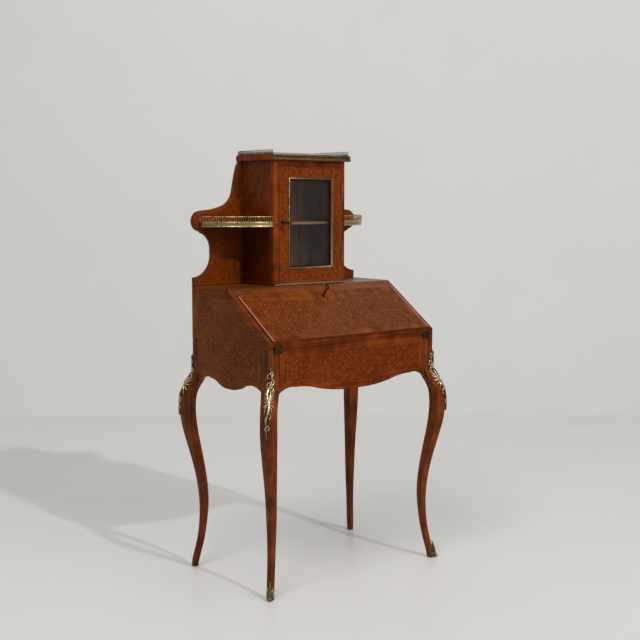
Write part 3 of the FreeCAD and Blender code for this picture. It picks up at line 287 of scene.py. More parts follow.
class Effects:
    """The shader groups that several finishes share."""

    # The scale of each kind of noise along, across and through the grain
    wide_streaks = (5.0, 230.0, 230.0)
    wide_bands = (2.2, 52.0, 52.0)
    flames = (26.0, 14.0, 14.0)
    fine_pores = (120.0, 1900.0, 1900.0)
    smears = (40.0, 9.0, 40.0)
    scratches = (30.0, 900.0, 500.0)

    # How much each noise counts in the wood's tone, colour and height
    streak_tone = 0.72
    band_tone = 0.38
    pore_tone = 0.35
    streak_height = 0.3
    pore_colour: Colour = (0.03, 0.012, 0.006)

    # How much the marks of use darken and roughen
    grime = 0.28
    smear_roughness = 0.28
    scratch_roughness = 0.06

    def __init__(self) -> None:
        """Build every group once."""
        self.grain = self.build_grain()
        self.lozenges = self.build_lozenges()
        self.handling = self.build_handling()

    def build_grain(self) -> bpy.types.NodeTree:
        """Wood grain that runs along the vector's X.

        Returns:
            A group with Vector, Dark, Light and Figure in, and Colour and Height out.
        """
        tree, given, out = new_group(
            "wood_grain",
            {"Vector": (VECTOR, None), "Dark": (COLOUR, (0.1, 0.04, 0.02, 1)),
             "Light": (COLOUR, (0.3, 0.15, 0.06, 1)), "Figure": (NUMBER, 0.5)},
            {"Colour": COLOUR, "Height": NUMBER},
        )
        vector = given.outputs["Vector"]
        streaks = tree.streaks(vector, self.wide_streaks, detail=5.0)
        bands = tree.streaks(vector, self.wide_bands, detail=3.0)
        flame = tree.minus(tree.streaks(vector, self.flames, detail=2.0), 0.5)
        pore = tree.step(tree.streaks(vector, self.fine_pores, detail=1.0), 0.62, 0.78)
        tone = tree.plus(tree.times(streaks, self.streak_tone),
                         tree.times(bands, self.band_tone))
        tone = tree.plus(tone, tree.times(flame, given.outputs["Figure"]))
        colour = tree.mix(tree.step(tone, 0.38, 0.72), given.outputs["Dark"],
                          given.outputs["Light"])
        tree.feed_all(out, Colour=tree.mix(tree.times(pore, self.pore_tone), colour,
                                           self.pore_colour),
                      Height=tree.minus(tree.times(streaks, self.streak_height), pore))
        return tree.tree

    def build_lozenges(self) -> bpy.types.NodeTree:
        """Lozenge parquetry in the vector's X and Y.

        Returns:
            A group with Vector, Pitch, Slimness, Line and Dot in, and the masks Joint and Centre,
            and the values Piece and Slant out.
        """
        tree, given, out = new_group(
            "lozenge_parquetry",
            {"Vector": (VECTOR, None), "Pitch": (NUMBER, 0.01), "Slimness": (NUMBER, 1.0),
             "Line": (NUMBER, 0.05), "Dot": (NUMBER, 0.2)},
            {"Joint": NUMBER, "Centre": NUMBER, "Piece": NUMBER, "Slant": NUMBER},
        )
        pitch = given.outputs["Pitch"]
        x, y, _ = tree.split(given.outputs["Vector"])
        x = tree.math("DIVIDE", x, pitch)
        y = tree.math("DIVIDE", y, tree.times(pitch, given.outputs["Slimness"]))
        rows = (tree.plus(x, y), tree.minus(x, y))
        cells = [tree.math("FLOOR", row) for row in rows]
        reach = [tree.size(tree.minus(tree.math("FRACT", row), 0.5)) for row in rows]
        nearest = tree.math("MAXIMUM", *reach)
        piece = tree.add("ShaderNodeTexWhiteNoise", noise_dimensions="3D")
        tree.feed(piece.inputs["Vector"], tree.combine(*cells))
        tree.feed_all(out, Joint=tree.over(nearest, tree.minus(0.5, given.outputs["Line"])),
                      Centre=tree.under(nearest, given.outputs["Dot"]),
                      Piece=piece.outputs["Value"],
                      Slant=tree.math("MODULO", tree.size(tree.plus(*cells)), 2.0))
        return tree.tree

    def build_handling(self) -> bpy.types.NodeTree:
        """Marks of long use: uneven polish, fine scratches and a little dirt.

        Returns:
            A group with Vector and Base Roughness in, and Shade, Roughness and Height out.
        """
        tree, given, out = new_group(
            "handling", {"Vector": (VECTOR, None), "Base Roughness": (NUMBER, 0.3)},
            {"Shade": NUMBER, "Roughness": NUMBER, "Height": NUMBER},
        )
        vector = given.outputs["Vector"]
        cloud = tree.step(tree.noise(vector, scale=5.0, detail=4.0), 0.35, 0.75)
        smears = tree.minus(tree.streaks(vector, self.smears, detail=4.0), 0.45)
        scratches = tree.step(tree.streaks(vector, self.scratches, detail=2.0), 0.68, 0.76)
        rough = tree.plus(given.outputs["Base Roughness"],
                          tree.times(smears, self.smear_roughness))
        rough = tree.plus(rough, tree.times(scratches, self.scratch_roughness), clamp=True)
        tree.feed_all(out, Shade=tree.inverse(tree.times(cloud, self.grime)), Roughness=rough,
                      Height=tree.times(scratches, -1.0))
        return tree.tree


# Finishes


def new_material(name: str) -> tuple[Material, Tree, Node]:
    """Start a material with one Principled shader.

    Args:
        name: The material's name.

    Returns:
        The material, its tree and its shader node.
    """
    material = bpy.data.materials.new(name)
    material.use_nodes = True
    material.node_tree.nodes.clear()
    tree = Tree(material.node_tree)
    shader = tree.add("ShaderNodeBsdfPrincipled")
    tree.feed_all(tree.add("ShaderNodeOutputMaterial"), Surface=shader.outputs[0])
    return material, tree, shader


def raise_surface(tree: Tree, shader: Node, height: Value, depth: float,
                  strength: float) -> None:
    """Feed a height to a shader's normal.

    Args:
        tree: The material's tree.
        shader: The shader node.
        height: The height, about 0 to 1.
        depth: The real depth of that height.
        strength: How strongly it shows.
    """
    bump = tree.feed_all(tree.add("ShaderNodeBump"), Height=height, Distance=depth,
                         Strength=strength)
    tree.feed_all(shader, Normal=bump.outputs[0])


def panel_axes(tree: Tree, place: Socket, along: Vector, across: Vector) -> list[Socket]:
    """A point's distances along, across and through a panel."""
    return [tree.dot(place, way) for way in (along, across, along.cross(across))]


@dataclass(frozen=True)
class Finish:
    """What every finish of the desk can do."""

    name: str

    def make(self, effects: Effects) -> Material:
        """Build the material.

        Args:
            effects: The shared groups.

        Returns:
            The material.
        """
        raise NotImplementedError


class Overlay:
    """What lies over part of a veneer."""

    def lay(self, tree: Tree, effects: Effects, place: Socket, colour: Socket) -> Socket:
        """Lay it over a colour.

        Args:
            tree: The material's tree.
            effects: The shared groups.
            place: The point of the object.
            colour: The colour so far.

        Returns:
            The new colour.
        """
        raise NotImplementedError


@dataclass(frozen=True)
class PostInlay(Overlay):
    """The dark inlaid strip on the outer face of each post."""

    face: float = 318.6 * MM
    from_middle: float = 182 * MM
    half_width: float = 9 * MM
    foot: float = 652 * MM
    wood: Colour = (0.045, 0.02, 0.022)
    strength: float = 0.7

    def lay(self, tree: Tree, effects: Effects, place: Socket, colour: Socket) -> Socket:
        """Darken the strips."""
        x, y, z = tree.split(place)
        off_middle = tree.size(tree.minus(tree.size(y), self.from_middle))
        strip = tree.times(tree.over(tree.size(x), self.face),
                           tree.under(off_middle, self.half_width))
        mask = tree.times(strip, tree.over(z, self.foot))
        return tree.mix(tree.times(mask, self.strength), colour, self.wood)


@dataclass(frozen=True)
class PaintedShelfShadow(Overlay):
    """Painted shadow: the wood under the corner shelves darkened where the shelves' shadow falls.
    """

    # How strongly the painted shadow shows, and its colour
    strength: float
    wood: Colour
    shelf_height: float = 1.052
    blend: float = 8 * MM

    def lay(self, tree: Tree, effects: Effects, place: Socket, colour: Socket) -> Socket:
        """Paint the shelves' shadow on what lies under them."""
        mask = tree.step(tree.dot(place, UPRIGHT), self.shelf_height + self.blend,
                         self.shelf_height)
        return tree.mix(tree.times(mask, self.strength), colour, self.wood)


@dataclass(frozen=True)
class CabinetLiningAndPaintedLight(Overlay):
    """The plain lining wood on the board's face where the cabinet closes it in, painted paler to
    stand in for light inside the cabinet.
    """

    width: float = 266 * MM
    back: float = 188 * MM
    dark: Colour = (0.130, 0.055, 0.022)
    light: Colour = (0.39, 0.186, 0.079)
    figure: float = 0.45

    def lay(self, tree: Tree, effects: Effects, place: Socket, colour: Socket) -> Socket:
        """Lay the plain lining, painted paler for light, between the cabinet's sides."""
        x, y, z = tree.split(place)
        mask = tree.times(tree.under(tree.size(x), self.width / 2), tree.under(y, self.back))
        plain = tree.group(effects.grain, Vector=tree.combine(z, x, y), Dark=self.dark,
                           Light=self.light, Figure=self.figure)
        return tree.mix(mask, colour, plain.outputs["Colour"])


class Parquetry(Enum):
    """How a veneered surface is laid out, with its joint's and its dot's share of a lozenge."""

    PLAIN = (0.0, 0.0)
    TRELLIS = (0.02, 0.21)
    DOTTED = (0.02, 0.22)
    MOSAIC = (0.03, 0.15)


@dataclass(frozen=True)
class PolishedVeneer(Finish):
    """Hand-polished veneer: a field of parquetry with a banded border, or straight grain."""

    along: Vector
    across: Vector
    pattern: Parquetry
    dark: Colour
    light: Colour
    pitch: float = 12 * MM
    slimness: float = 1.0
    border: float = 20 * MM
    inlay: Colour = (0.42, 0.20, 0.07)
    inlay_strength: float = 0.5
    contrast: float = 0.5
    # A rim colour, lighter with wear and with a painted highlight where the rounded edge catches
    # the light
    worn_and_highlight_rim: Optional[Colour] = None
    border_line: float = 0.15
    roughness: float = 0.36
    gloss: float = 0.07
    coat: float = 0.02
    figure: float = 0.5
    overlays: Sequence[Overlay] = ()

    # Where each part of a border begins and ends to fade
    field_edge = (-0.3 * MM, 0.3 * MM)
    line_edge = (0.5 * MM, 1.1 * MM)
    worn_and_highlight_edge = (3.0 * MM, 4.6 * MM)
    dirty_edge = (0.8 * MM, 2.2 * MM)

    # How much the contrast darkens all, and sets single lozenges and the two slants apart
    base_tone = 0.66
    piece_tone = 0.75
    slant_tone = 0.5

    # How strongly the band, the joints and the rim are tinted; a worn rim's tint is partly a
    # painted highlight
    band_tint = 0.12
    dark_joint = 0.25
    worn_and_highlight_strength = 0.75
    dirty_strength = 0.45

    # How deep the seams and the scratches are beside the pores
    seam_depth = 0.4
    scratch_depth = 0.5

    def make(self, effects: Effects) -> Material:
        """Build the material."""
        material, tree, shader = new_material(self.name)
        place = tree.place()
        axes = panel_axes(tree, place, self.along, self.across)
        plane = tree.combine(*axes)
        straight = tree.group(effects.grain, Vector=plane, Dark=self.dark, Light=self.light,
                              Figure=self.figure)
        colour, height = straight.outputs["Colour"], straight.outputs["Height"]
        if self.pattern is not Parquetry.PLAIN:
            laid, height, joint = self.lay_field(tree, effects, axes, plane)
            colour, line = self.lay_border(tree, effects, axes, colour, laid)
            seams = tree.math("MAXIMUM", joint, line)
            height = tree.minus(height, tree.times(seams, self.seam_depth))
        for overlay in self.overlays:
            colour = overlay.lay(tree, effects, place, colour)
        marks = tree.group(effects.handling, Vector=plane, Base_Roughness=self.roughness)
        shade = tree.grey(marks.outputs["Shade"])
        tree.feed_all(shader, Base_Color=tree.mix(1.0, colour, shade, "MULTIPLY"),
                      Roughness=marks.outputs["Roughness"], Coat_Weight=self.coat,
                      Coat_Roughness=0.22, Specular_IOR_Level=self.gloss)
        scratched = tree.plus(height, tree.times(marks.outputs["Height"], self.scratch_depth))
        raise_surface(tree, shader, scratched, depth=0.12 * MM, strength=0.35)
        return material

    def lay_field(self, tree: Tree, effects: Effects, axes: Sequence[Socket],
                  plane: Socket) -> tuple[Socket, Socket, Socket]:
        """Lay the parquetry.

        Args:
            tree: The material's tree.
            effects: The shared groups.
            axes: The distances along, across and through the panel.
            plane: The same as a vector.

        Returns:
            The colour, the height and the mask of the joints.
        """
        along, across, depth = axes
        line, dot = self.pattern.value
        cells = tree.group(effects.lozenges, Vector=plane, Pitch=self.pitch,
                           Slimness=self.slimness, Line=line, Dot=dot)
        joint, centre, piece, slant = cells.outputs
        rising, falling = tree.plus(along, across), tree.minus(along, across)
        way = tree.add("ShaderNodeMix", data_type="VECTOR")
        tree.feed(way.inputs[0], slant)
        tree.feed(way.inputs[4], tree.combine(rising, falling, depth))
        tree.feed(way.inputs[5], tree.combine(falling, rising, depth))
        shifted = tree.vector("ADD", way.outputs[1], tree.combine(piece, 0.0, 0.0))
        grain = tree.group(effects.grain, Vector=shifted.outputs[0], Dark=self.dark,
                           Light=self.light, Figure=0.2)
        tone = tree.plus(1.0 - self.base_tone * self.contrast,
                         tree.times(piece, self.piece_tone * self.contrast))
        tone = tree.plus(tone, tree.times(slant, self.slant_tone * self.contrast))
        colour = tree.mix(1.0, grain.outputs["Colour"], tree.grey(tone), "MULTIPLY")
        if self.pattern is Parquetry.DOTTED:
            colour = tree.mix(tree.times(joint, self.dark_joint), colour,
                              darker(self.dark, share=0.45))
        else:
            colour = tree.mix(tree.times(joint, self.inlay_strength), colour, self.inlay)
        colour = tree.mix(tree.times(centre, self.inlay_strength), colour, self.inlay)
        return colour, grain.outputs["Height"], joint

    def lay_border(self, tree: Tree, effects: Effects, axes: Sequence[Socket], straight: Socket,
                   laid: Socket) -> tuple[Socket, Socket]:
        """Lay the banding round the parquetry, with its line and its rim: lighter with wear and a
        painted highlight where a worn rim is given, else dirty.

        Args:
            tree: The material's tree.
            effects: The shared groups.
            axes: The distances along, across and through the panel.
            straight: The colour of the grain that runs along the panel.
            laid: The parquetry's colour.

        Returns:
            The whole panel's colour and the mask of the line.
        """
        along, across, depth = axes
        reach, turn = tree.stored("reach"), tree.stored("turn")
        upright = tree.group(effects.grain, Vector=tree.combine(across, along, depth),
                             Dark=self.dark, Light=self.light, Figure=self.figure)
        banding = tree.mix(turn, straight, upright.outputs["Colour"])
        banding = tree.mix(self.band_tint, banding, self.inlay)
        start, end = self.field_edge
        inside = tree.step(reach, self.border + start, self.border + end)
        colour = tree.mix(inside, banding, laid)
        off_line = tree.size(tree.minus(reach, self.border))
        line = tree.inverse(tree.step(off_line, *self.line_edge))
        colour = tree.mix(tree.times(line, self.border_line), colour,
                          darker(self.dark, share=0.3))
        # A worn rim is lighter with wear and with a painted highlight along the rounded side edges
        if self.worn_and_highlight_rim:
            rim = tree.inverse(tree.step(reach, *self.worn_and_highlight_edge))
            rim = tree.times(rim, tree.over(turn, 0.5))
            return tree.mix(tree.times(rim, self.worn_and_highlight_strength), colour, self.worn_and_highlight_rim), line
        rim = tree.inverse(tree.step(reach, *self.dirty_edge))
        return tree.mix(tree.times(rim, self.dirty_strength), colour,
                        darker(self.dark, share=0.4)), line


@dataclass(frozen=True)
class WaxedWood(Finish):
    """Plain waxed or stained wood for the inside and the unseen sides."""

    along: Vector
    across: Vector
    dark: Colour
    light: Colour
    roughness: float = 0.5

    def make(self, effects: Effects) -> Material:
        """Build the material."""
        material, tree, shader = new_material(self.name)
        plane = tree.combine(*panel_axes(tree, tree.place(), self.along, self.across))
        grain = tree.group(effects.grain, Vector=plane, Dark=self.dark, Light=self.light,
                           Figure=0.35)
        marks = tree.group(effects.handling, Vector=plane, Base_Roughness=self.roughness)
        shade = tree.grey(marks.outputs["Shade"])
        tree.feed_all(shader, Roughness=marks.outputs["Roughness"], Specular_IOR_Level=0.35,
                      Base_Color=tree.mix(1.0, grain.outputs["Colour"], shade, "MULTIPLY"))
        raise_surface(tree, shader, grain.outputs["Height"], depth=0.2 * MM, strength=0.4)
        return material


@dataclass(frozen=True)
class AgedMetal(Finish):
    """Brass, gilt bronze or steel: bright where rubbed, dark in the hollows."""

    bright: Colour
    dull: Colour
    tarnish: float
    roughness: float
    mottle: float = 90.0

    # The pointiness of a hollow and of a rubbed edge
    rubbed = (0.47, 0.56)

    # Where the tarnish begins and is full, and how strongly it, dirt and specks show
    patch_edge = (0.62, 0.80)
    patch_strength = 0.7
    dirt_strength = 0.55
    speck_strength = 0.25
    dull_roughness = 0.18

    def make(self, effects: Effects) -> Material:
        """Build the material."""
        material, tree, shader = new_material(self.name)
        place = tree.place()
        start, full = self.patch_edge
        patches = tree.step(tree.noise(place, self.mottle, detail=4.0), start - self.tarnish,
                            full - self.tarnish)
        specks = tree.step(tree.noise(place, scale=420.0, detail=2.0), 0.55, 0.75)
        pointed = tree.add("ShaderNodeNewGeometry").outputs["Pointiness"]
        dirt = tree.inverse(tree.step(pointed, *self.rubbed))
        dull = tree.math("MAXIMUM", tree.times(patches, self.patch_strength),
                         tree.times(dirt, self.dirt_strength), clamp=True)
        colour = tree.mix(dull, self.bright, self.dull)
        colour = tree.mix(tree.times(specks, self.speck_strength), colour,
                          darker(self.dull, share=0.35))
        marks = tree.group(effects.handling, Vector=place, Base_Roughness=self.roughness)
        rough = tree.plus(marks.outputs["Roughness"], tree.times(dull, self.dull_roughness),
                          clamp=True)
        tree.feed_all(shader, Base_Color=colour, Roughness=rough, Metallic=1.0)
        raise_surface(tree, shader, tree.noise(place, scale=900.0, detail=2.0), depth=0.08 * MM,
                      strength=0.3)
        return material


@dataclass(frozen=True)
class TooledLeather(Finish):
    """Waxed writing leather with a fine grain and a gilt line round it."""

    dark: Colour
    light: Colour
    gilding: Colour = (0.55, 0.40, 0.14)
    line_reach: float = 9 * MM
    line_edge: Point = (0.5 * MM, 0.9 * MM)

    def make(self, effects: Effects) -> Material:
        """Build the material."""
        material, tree, shader = new_material(self.name)
        place = tree.place()
        pebbles = tree.feed_all(tree.add("ShaderNodeTexVoronoi", feature="F1"), Vector=place,
                                Scale=900.0)
        patch = tree.step(tree.noise(place, scale=9.0, detail=4.0), 0.3, 0.7)
        off_line = tree.size(tree.minus(tree.stored("reach"), self.line_reach))
        gilt = tree.inverse(tree.step(off_line, *self.line_edge))
        rubbed = tree.times(gilt, tree.step(tree.noise(place, scale=60.0, detail=3.0), 0.3, 0.5))
        colour = tree.mix(patch, self.dark, self.light)
        marks = tree.group(effects.handling, Vector=place, Base_Roughness=0.45)
        tree.feed_all(shader, Base_Color=tree.mix(rubbed, colour, self.gilding),
                      Metallic=tree.times(rubbed, 0.8), Roughness=marks.outputs["Roughness"])
        pressed = tree.minus(pebbles.outputs["Distance"], gilt)
        raise_surface(tree, shader, pressed, depth=0.15 * MM, strength=0.5)
        return material


@dataclass(frozen=True)
class OldGlass(Finish):
    """A slightly wavy, slightly dusty pane."""

    clear: Colour = (0.93, 0.95, 0.93)
    dusty: Colour = (0.80, 0.81, 0.78)
    cover: float = 0.29
    dust_cover: float = 0.12
    dust_roughness: float = 0.05

    def make(self, effects: Effects) -> Material:
        """Build the material."""
        material, tree, shader = new_material(self.name)
        place = tree.place()
        dust = tree.step(tree.noise(place, scale=22.0, detail=5.0), 0.35, 0.8)
        tree.feed_all(shader, Base_Color=tree.mix(dust, self.clear, self.dusty),
                      Roughness=tree.times(dust, self.dust_roughness),
                      Alpha=tree.plus(self.cover, tree.times(dust, self.dust_cover)),
                      Transmission_Weight=0.988, IOR=1.45)
        raise_surface(tree, shader, tree.noise(place, scale=7.0, detail=1.0), depth=0.4 * MM,
                      strength=0.12)
        return material


@dataclass(frozen=True)
class PaleBackdrop:
    """Painted board, a little uneven, for the floor and the wall."""

    name: str
    dark: Colour = (0.742, 0.736, 0.719)
    light: Colour = (0.770, 0.764, 0.747)
    smoothest: float = 0.34
    unevenness: float = 0.12

    def make(self) -> Material:
        """Build the material."""
        material, tree, shader = new_material(self.name)
        place = tree.place()
        uneven = tree.step(tree.noise(place, scale=1.7, detail=4.0), 0.3, 0.7)
        clouds = tree.noise(place, scale=3.0)
        tree.feed_all(shader, Base_Color=tree.mix(clouds, self.dark, self.light),
                      Roughness=tree.plus(self.smoothest, tree.times(uneven, self.unevenness)),
                      Specular_IOR_Level=0.25)
        return material


RED_BROWN: Colour = (0.078, 0.0115, 0.0009)
FOX_BROWN: Colour = (0.230, 0.0415, 0.0026)
UMBER: Colour = (0.079, 0.0192, 0.0030)
CHESTNUT: Colour = (0.212, 0.0525, 0.0086)


class Finishes:
    """Every finish of the desk, built once and handed out by name."""

    def __init__(self) -> None:
        """Build the shared effects and all materials."""
        effects = Effects()
        finishes = [
            PolishedVeneer("fall_parquetry", ACROSS_X, SLOPE_UP, Parquetry.TRELLIS,
                           (0.062, 0.0124, 0.0009), (0.203, 0.0450, 0.0041), pitch=18 * MM,
                           slimness=0.9, border=24 * MM, inlay=(0.36, 0.100, 0.014),
                           inlay_strength=0.28, contrast=0.46, roughness=0.34, gloss=0.06,
                           # The rim is a painted highlight on the fall's rounded side edges, with
                           # some wear
                           coat=0.07, worn_and_highlight_rim=(0.42, 0.27, 0.22), border_line=0.06,
                           figure=0.9),
            PolishedVeneer("apron_parquetry", ACROSS_X, UPRIGHT, Parquetry.DOTTED, RED_BROWN,
                           FOX_BROWN, pitch=17 * MM, slimness=0.7, border=22 * MM,
                           inlay=(0.34, 0.080, 0.009), inlay_strength=0.24, contrast=0.22,
                           border_line=0.10, figure=0.7),
            PolishedVeneer("side_parquetry", ALONG_Y, UPRIGHT, Parquetry.MOSAIC, UMBER, CHESTNUT,
                           pitch=9 * MM, border=24 * MM, inlay=(0.27, 0.095, 0.026),
                           inlay_strength=0.42, contrast=0.7, border_line=0.16, gloss=0.05),
            PolishedVeneer("wing_parquetry", ACROSS_X, UPRIGHT, Parquetry.DOTTED,
                           (0.105, 0.0155, 0.0012), (0.285, 0.0540, 0.0040), pitch=12 * MM,
                           slimness=0.7, border=9 * MM, inlay=(0.42, 0.110, 0.012),
                           inlay_strength=0.30, contrast=0.25,
                           # Painted shadow under the corner shelves
                           overlays=(PaintedShelfShadow(strength=0.22, wood=(0.02625, 0.003875, 0.0003)),
                                     # The lining inside the cabinet is painted paler to stand in
                                     # for light
                                     CabinetLiningAndPaintedLight())),
            PolishedVeneer("cabinet_side_parquetry", ALONG_Y, UPRIGHT, Parquetry.DOTTED,
                           (0.055, 0.0085, 0.0008), (0.190, 0.0360, 0.0034), pitch=13 * MM,
                           slimness=0.7, border=12 * MM, inlay=(0.26, 0.062, 0.007),
                           inlay_strength=0.28, contrast=0.25,
                           # Painted shadow under the corner shelf
                           overlays=(PaintedShelfShadow(strength=0.50,
                                                wood=(0.01375, 0.002125, 0.0002)),)),
            PolishedVeneer("top_parquetry", ACROSS_X, ALONG_Y, Parquetry.TRELLIS, UMBER, CHESTNUT,
                           pitch=12 * MM, border=22 * MM, inlay=(0.28, 0.090, 0.02),
                           inlay_strength=0.25, gloss=0.15, coat=0.10),
            PolishedVeneer("door_parquetry", UPRIGHT, ACROSS_X, Parquetry.DOTTED, RED_BROWN,
                           (0.280, 0.0540, 0.0040), pitch=8 * MM, border=6 * MM,
                           inlay=(0.36, 0.090, 0.010), inlay_strength=0.22, contrast=0.2,
                           border_line=0.3),
            PolishedVeneer("upright_veneer", UPRIGHT, ACROSS_X, Parquetry.PLAIN, RED_BROWN,
                           (0.280, 0.0540, 0.0040)),
            PolishedVeneer("level_veneer", ACROSS_X, UPRIGHT, Parquetry.PLAIN, RED_BROWN,
                           FOX_BROWN),
            PolishedVeneer("leg_veneer", UPRIGHT, ACROSS_X, Parquetry.PLAIN,
                           (0.078, 0.0148, 0.0022), (0.215, 0.0465, 0.0067), figure=0.38,
                           coat=0.03, overlays=(PostInlay(),)),
            WaxedWood("inside_level", ACROSS_X, UPRIGHT, (0.102, 0.044, 0.019),
                      (0.25, 0.117, 0.050)),
            WaxedWood("inside_upright", UPRIGHT, ALONG_Y, (0.12, 0.055, 0.024),
                      (0.28, 0.14, 0.06)),
            WaxedWood("inside_deep", ALONG_Y, ACROSS_X, (0.13, 0.06, 0.026),
                      (0.32, 0.165, 0.075)),
            WaxedWood("carcass_oak", ACROSS_X, UPRIGHT, (0.09, 0.045, 0.022), (0.23, 0.125, 0.06),
                      roughness=0.62),
            AgedMetal("gilt", (0.74, 0.61, 0.37), (0.035, 0.022, 0.012), tarnish=0.18,
                      roughness=0.20, mottle=240.0),
            AgedMetal("sabot_gilt", (0.38, 0.285, 0.145), (0.028, 0.018, 0.010), tarnish=0.26,
                      roughness=0.28, mottle=240.0),
            # Dark gilt for the mounts' plates: painted shade in the gaps between the cast strokes
            AgedMetal("gilt_painted_shade", (0.100, 0.070, 0.038), (0.022, 0.014, 0.008), tarnish=0.20,
                      roughness=0.45, mottle=240.0),
            AgedMetal("gallery_brass", (0.62, 0.49, 0.235), (0.075, 0.050, 0.023), tarnish=0.17,
                      roughness=0.24, mottle=160.0),
            AgedMetal("pierced_brass", (0.098, 0.069, 0.030), (0.018, 0.011, 0.005), tarnish=0.17,
                      roughness=0.38),
            AgedMetal("edge_brass", (0.24, 0.145, 0.070), (0.048, 0.028, 0.013), tarnish=0.17,
                      roughness=0.32),
            AgedMetal("planted_brass", (0.080, 0.040, 0.020), (0.016, 0.009, 0.005), tarnish=0.20,
                      roughness=0.42),
            AgedMetal("moulding_brass", (0.33, 0.25, 0.125), (0.055, 0.036, 0.018), tarnish=0.16,
                      roughness=0.28),
            # Dark brass; it is also the painted shade on the door moulding's inner band and in the
            # foot bead's quirk
            AgedMetal("dark_brass_and_shade", (0.042, 0.028, 0.016), (0.008, 0.006, 0.004), tarnish=0.20,
                      roughness=0.40),
            AgedMetal("hinge_brass", (0.36, 0.19, 0.125), (0.060, 0.028, 0.016), tarnish=0.17,
                      roughness=0.32),
            AgedMetal("key_metal", (0.085, 0.060, 0.036), (0.010, 0.007, 0.005), tarnish=0.20,
                      roughness=0.30, mottle=160.0),
            AgedMetal("lock_iron", (0.21, 0.20, 0.19), (0.06, 0.05, 0.045), tarnish=0.10,
                      roughness=0.42),
            TooledLeather("desk_leather", (0.030, 0.042, 0.020), (0.075, 0.095, 0.045)),
            OldGlass("cabinet_glass"),
        ]
        self.made = {finish.name: finish.make(effects) for finish in finishes}

    def __getitem__(self, name: str) -> Material:
        """The material of that name."""
        return self.made[name]


# Mesh making

# Corners closer than this are one corner, and turned ends are no thinner than this
WELD = 0.002 * MM
LEAST_RADIUS = 1e-5


def node_box(name: str) -> tuple[Vector, Vector]:
    """The lowest and highest corner of a node of the frame."""
    low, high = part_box(name)
    return Vector(low), Vector(high)


def node_copy(name: str) -> Mesh:
    """A node's mesh with its doubled corners joined."""
    mesh = bmesh.new()
    mesh.from_mesh(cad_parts[name].data)
    bmesh.ops.remove_doubles(mesh, verts=mesh.verts, dist=WELD)
    return mesh


def clean_copy(name: str) -> Mesh:
    """A node's mesh with its triangles joined back into whole faces."""
    mesh = node_copy(name)
    bmesh.ops.dissolve_limit(mesh, angle_limit=math.radians(0.6), verts=mesh.verts,
                             edges=mesh.edges)
    return mesh


def ease_edges(mesh: Mesh, width: float, angle: float = 35.0) -> None:
    """Round a mesh's sharp edges.

    Args:
        mesh: The mesh, changed in place.
        width: How far the rounding reaches from the edge.
        angle: The least angle between faces, in degrees, that counts as sharp.
    """
    limit = math.radians(angle)
    sharp = [edge for edge in mesh.edges
             if len(edge.link_faces) == 2 and edge.calc_face_angle(0.0) > limit]
    bmesh.ops.bevel(mesh, geom=sharp, offset=width, segments=2, profile=0.6, affect="EDGES",
                    clamp_overlap=True)


def mark_reach(mesh: Mesh, along: Vector, across: Vector, spacing: float) -> None:
    """Divide a panel into small faces and store on each corner how far the outline is.

    Args:
        mesh: The panel, changed in place.
        along: The panel's long direction.
        across: Its other direction.
        spacing: The size of the small faces.
    """
    normal = along.cross(across)
    largest = max(mesh.faces, key=lambda face: face.calc_area() * abs(face.normal.dot(normal)))
    loop = [(vert.co.dot(along), vert.co.dot(across)) for vert in largest.verts]
    outline = list(zip([loop[-1], *loop], loop))
    for direction in (along, across):
        places = [vert.co.dot(direction) for vert in mesh.verts]
        start, length = min(places), max(places) - min(places)
        count = int(length / spacing)
        for number in range(1, count + 1):
            cut = direction * (start + number * length / (count + 1))
            bmesh.ops.bisect_plane(mesh, geom=mesh.verts[:] + mesh.edges[:] + mesh.faces[:],
                                   plane_co=cut, plane_no=direction)
    reach_layer = mesh.verts.layers.float.new("reach")
    turn_layer = mesh.verts.layers.float.new("turn")
    for vert in mesh.verts:
        point = (vert.co.dot(along), vert.co.dot(across))
        vert[reach_layer], vert[turn_layer] = distance_to_outline(point, outline)


def distance_to_outline(point: Point, outline: Sequence[tuple[Point, Point]]) -> Point:
    """Measure from a point to the nearest run of an outline.

    Args:
        point: The point.
        outline: The runs' two ends.

    Returns:
        The distance, and 1 where the nearest run goes mostly across the panel, else 0.
    """
    best = (1.0, 0.0)
    for (ax, ay), (bx, by) in outline:
        dx, dy = bx - ax, by - ay
        squared = dx * dx + dy * dy
        if squared < 1e-12:
            continue
        share = max(0.0, min(1.0, ((point[0] - ax) * dx + (point[1] - ay) * dy) / squared))
        gap = math.hypot(point[0] - ax - share * dx, point[1] - ay - share * dy)
        if gap < best[0]:
            best = (gap, 1.0 if abs(dy) > abs(dx) else 0.0)
    return best


def facing(direction: Vector) -> Matrix:
    """The turn that points Z along a direction."""
    return direction.to_track_quat("Z", "Y").to_matrix().to_4x4()


def hump(value: float, middle: float, spread: float) -> float:
    """A smooth hump that is 1 at its middle and about a third a spread away from it."""
    return math.exp(-((value - middle) / spread) ** 2)


def between(ends: tuple[float, float], share: float) -> float:
    """The value at a share of the way from the first end to the second."""
    return ends[0] + (ends[1] - ends[0]) * share


def circle(steps: int) -> list[Point]:
    """The cosine and sine of evenly spaced turns round a circle."""
    turns = [2 * math.pi * number / steps for number in range(steps)]
    return [(math.cos(turn), math.sin(turn)) for turn in turns]


def join_rings(mesh: Mesh, rings: Sequence[Path], closed: bool = False) -> None:
    """Skin a row of rings.

    Args:
        mesh: The mesh to add to.
        rings: Rings with the same number of corners.
        closed: Whether the last ring joins the first; if not, the two ends are filled.
    """
    rows = [[mesh.verts.new(point) for point in ring] for ring in rings]
    pairs = list(zip(rows, rows[1:]))
    if closed:
        pairs.append((rows[-1], rows[0]))
    count = len(rows[0])
    for lower, upper in pairs:
        for corner in range(count):
            after = (corner + 1) % count
            mesh.faces.new((lower[corner], lower[after], upper[after], upper[corner]))
    if not closed:
        mesh.faces.new(list(reversed(rows[0])))
        mesh.faces.new(rows[-1])


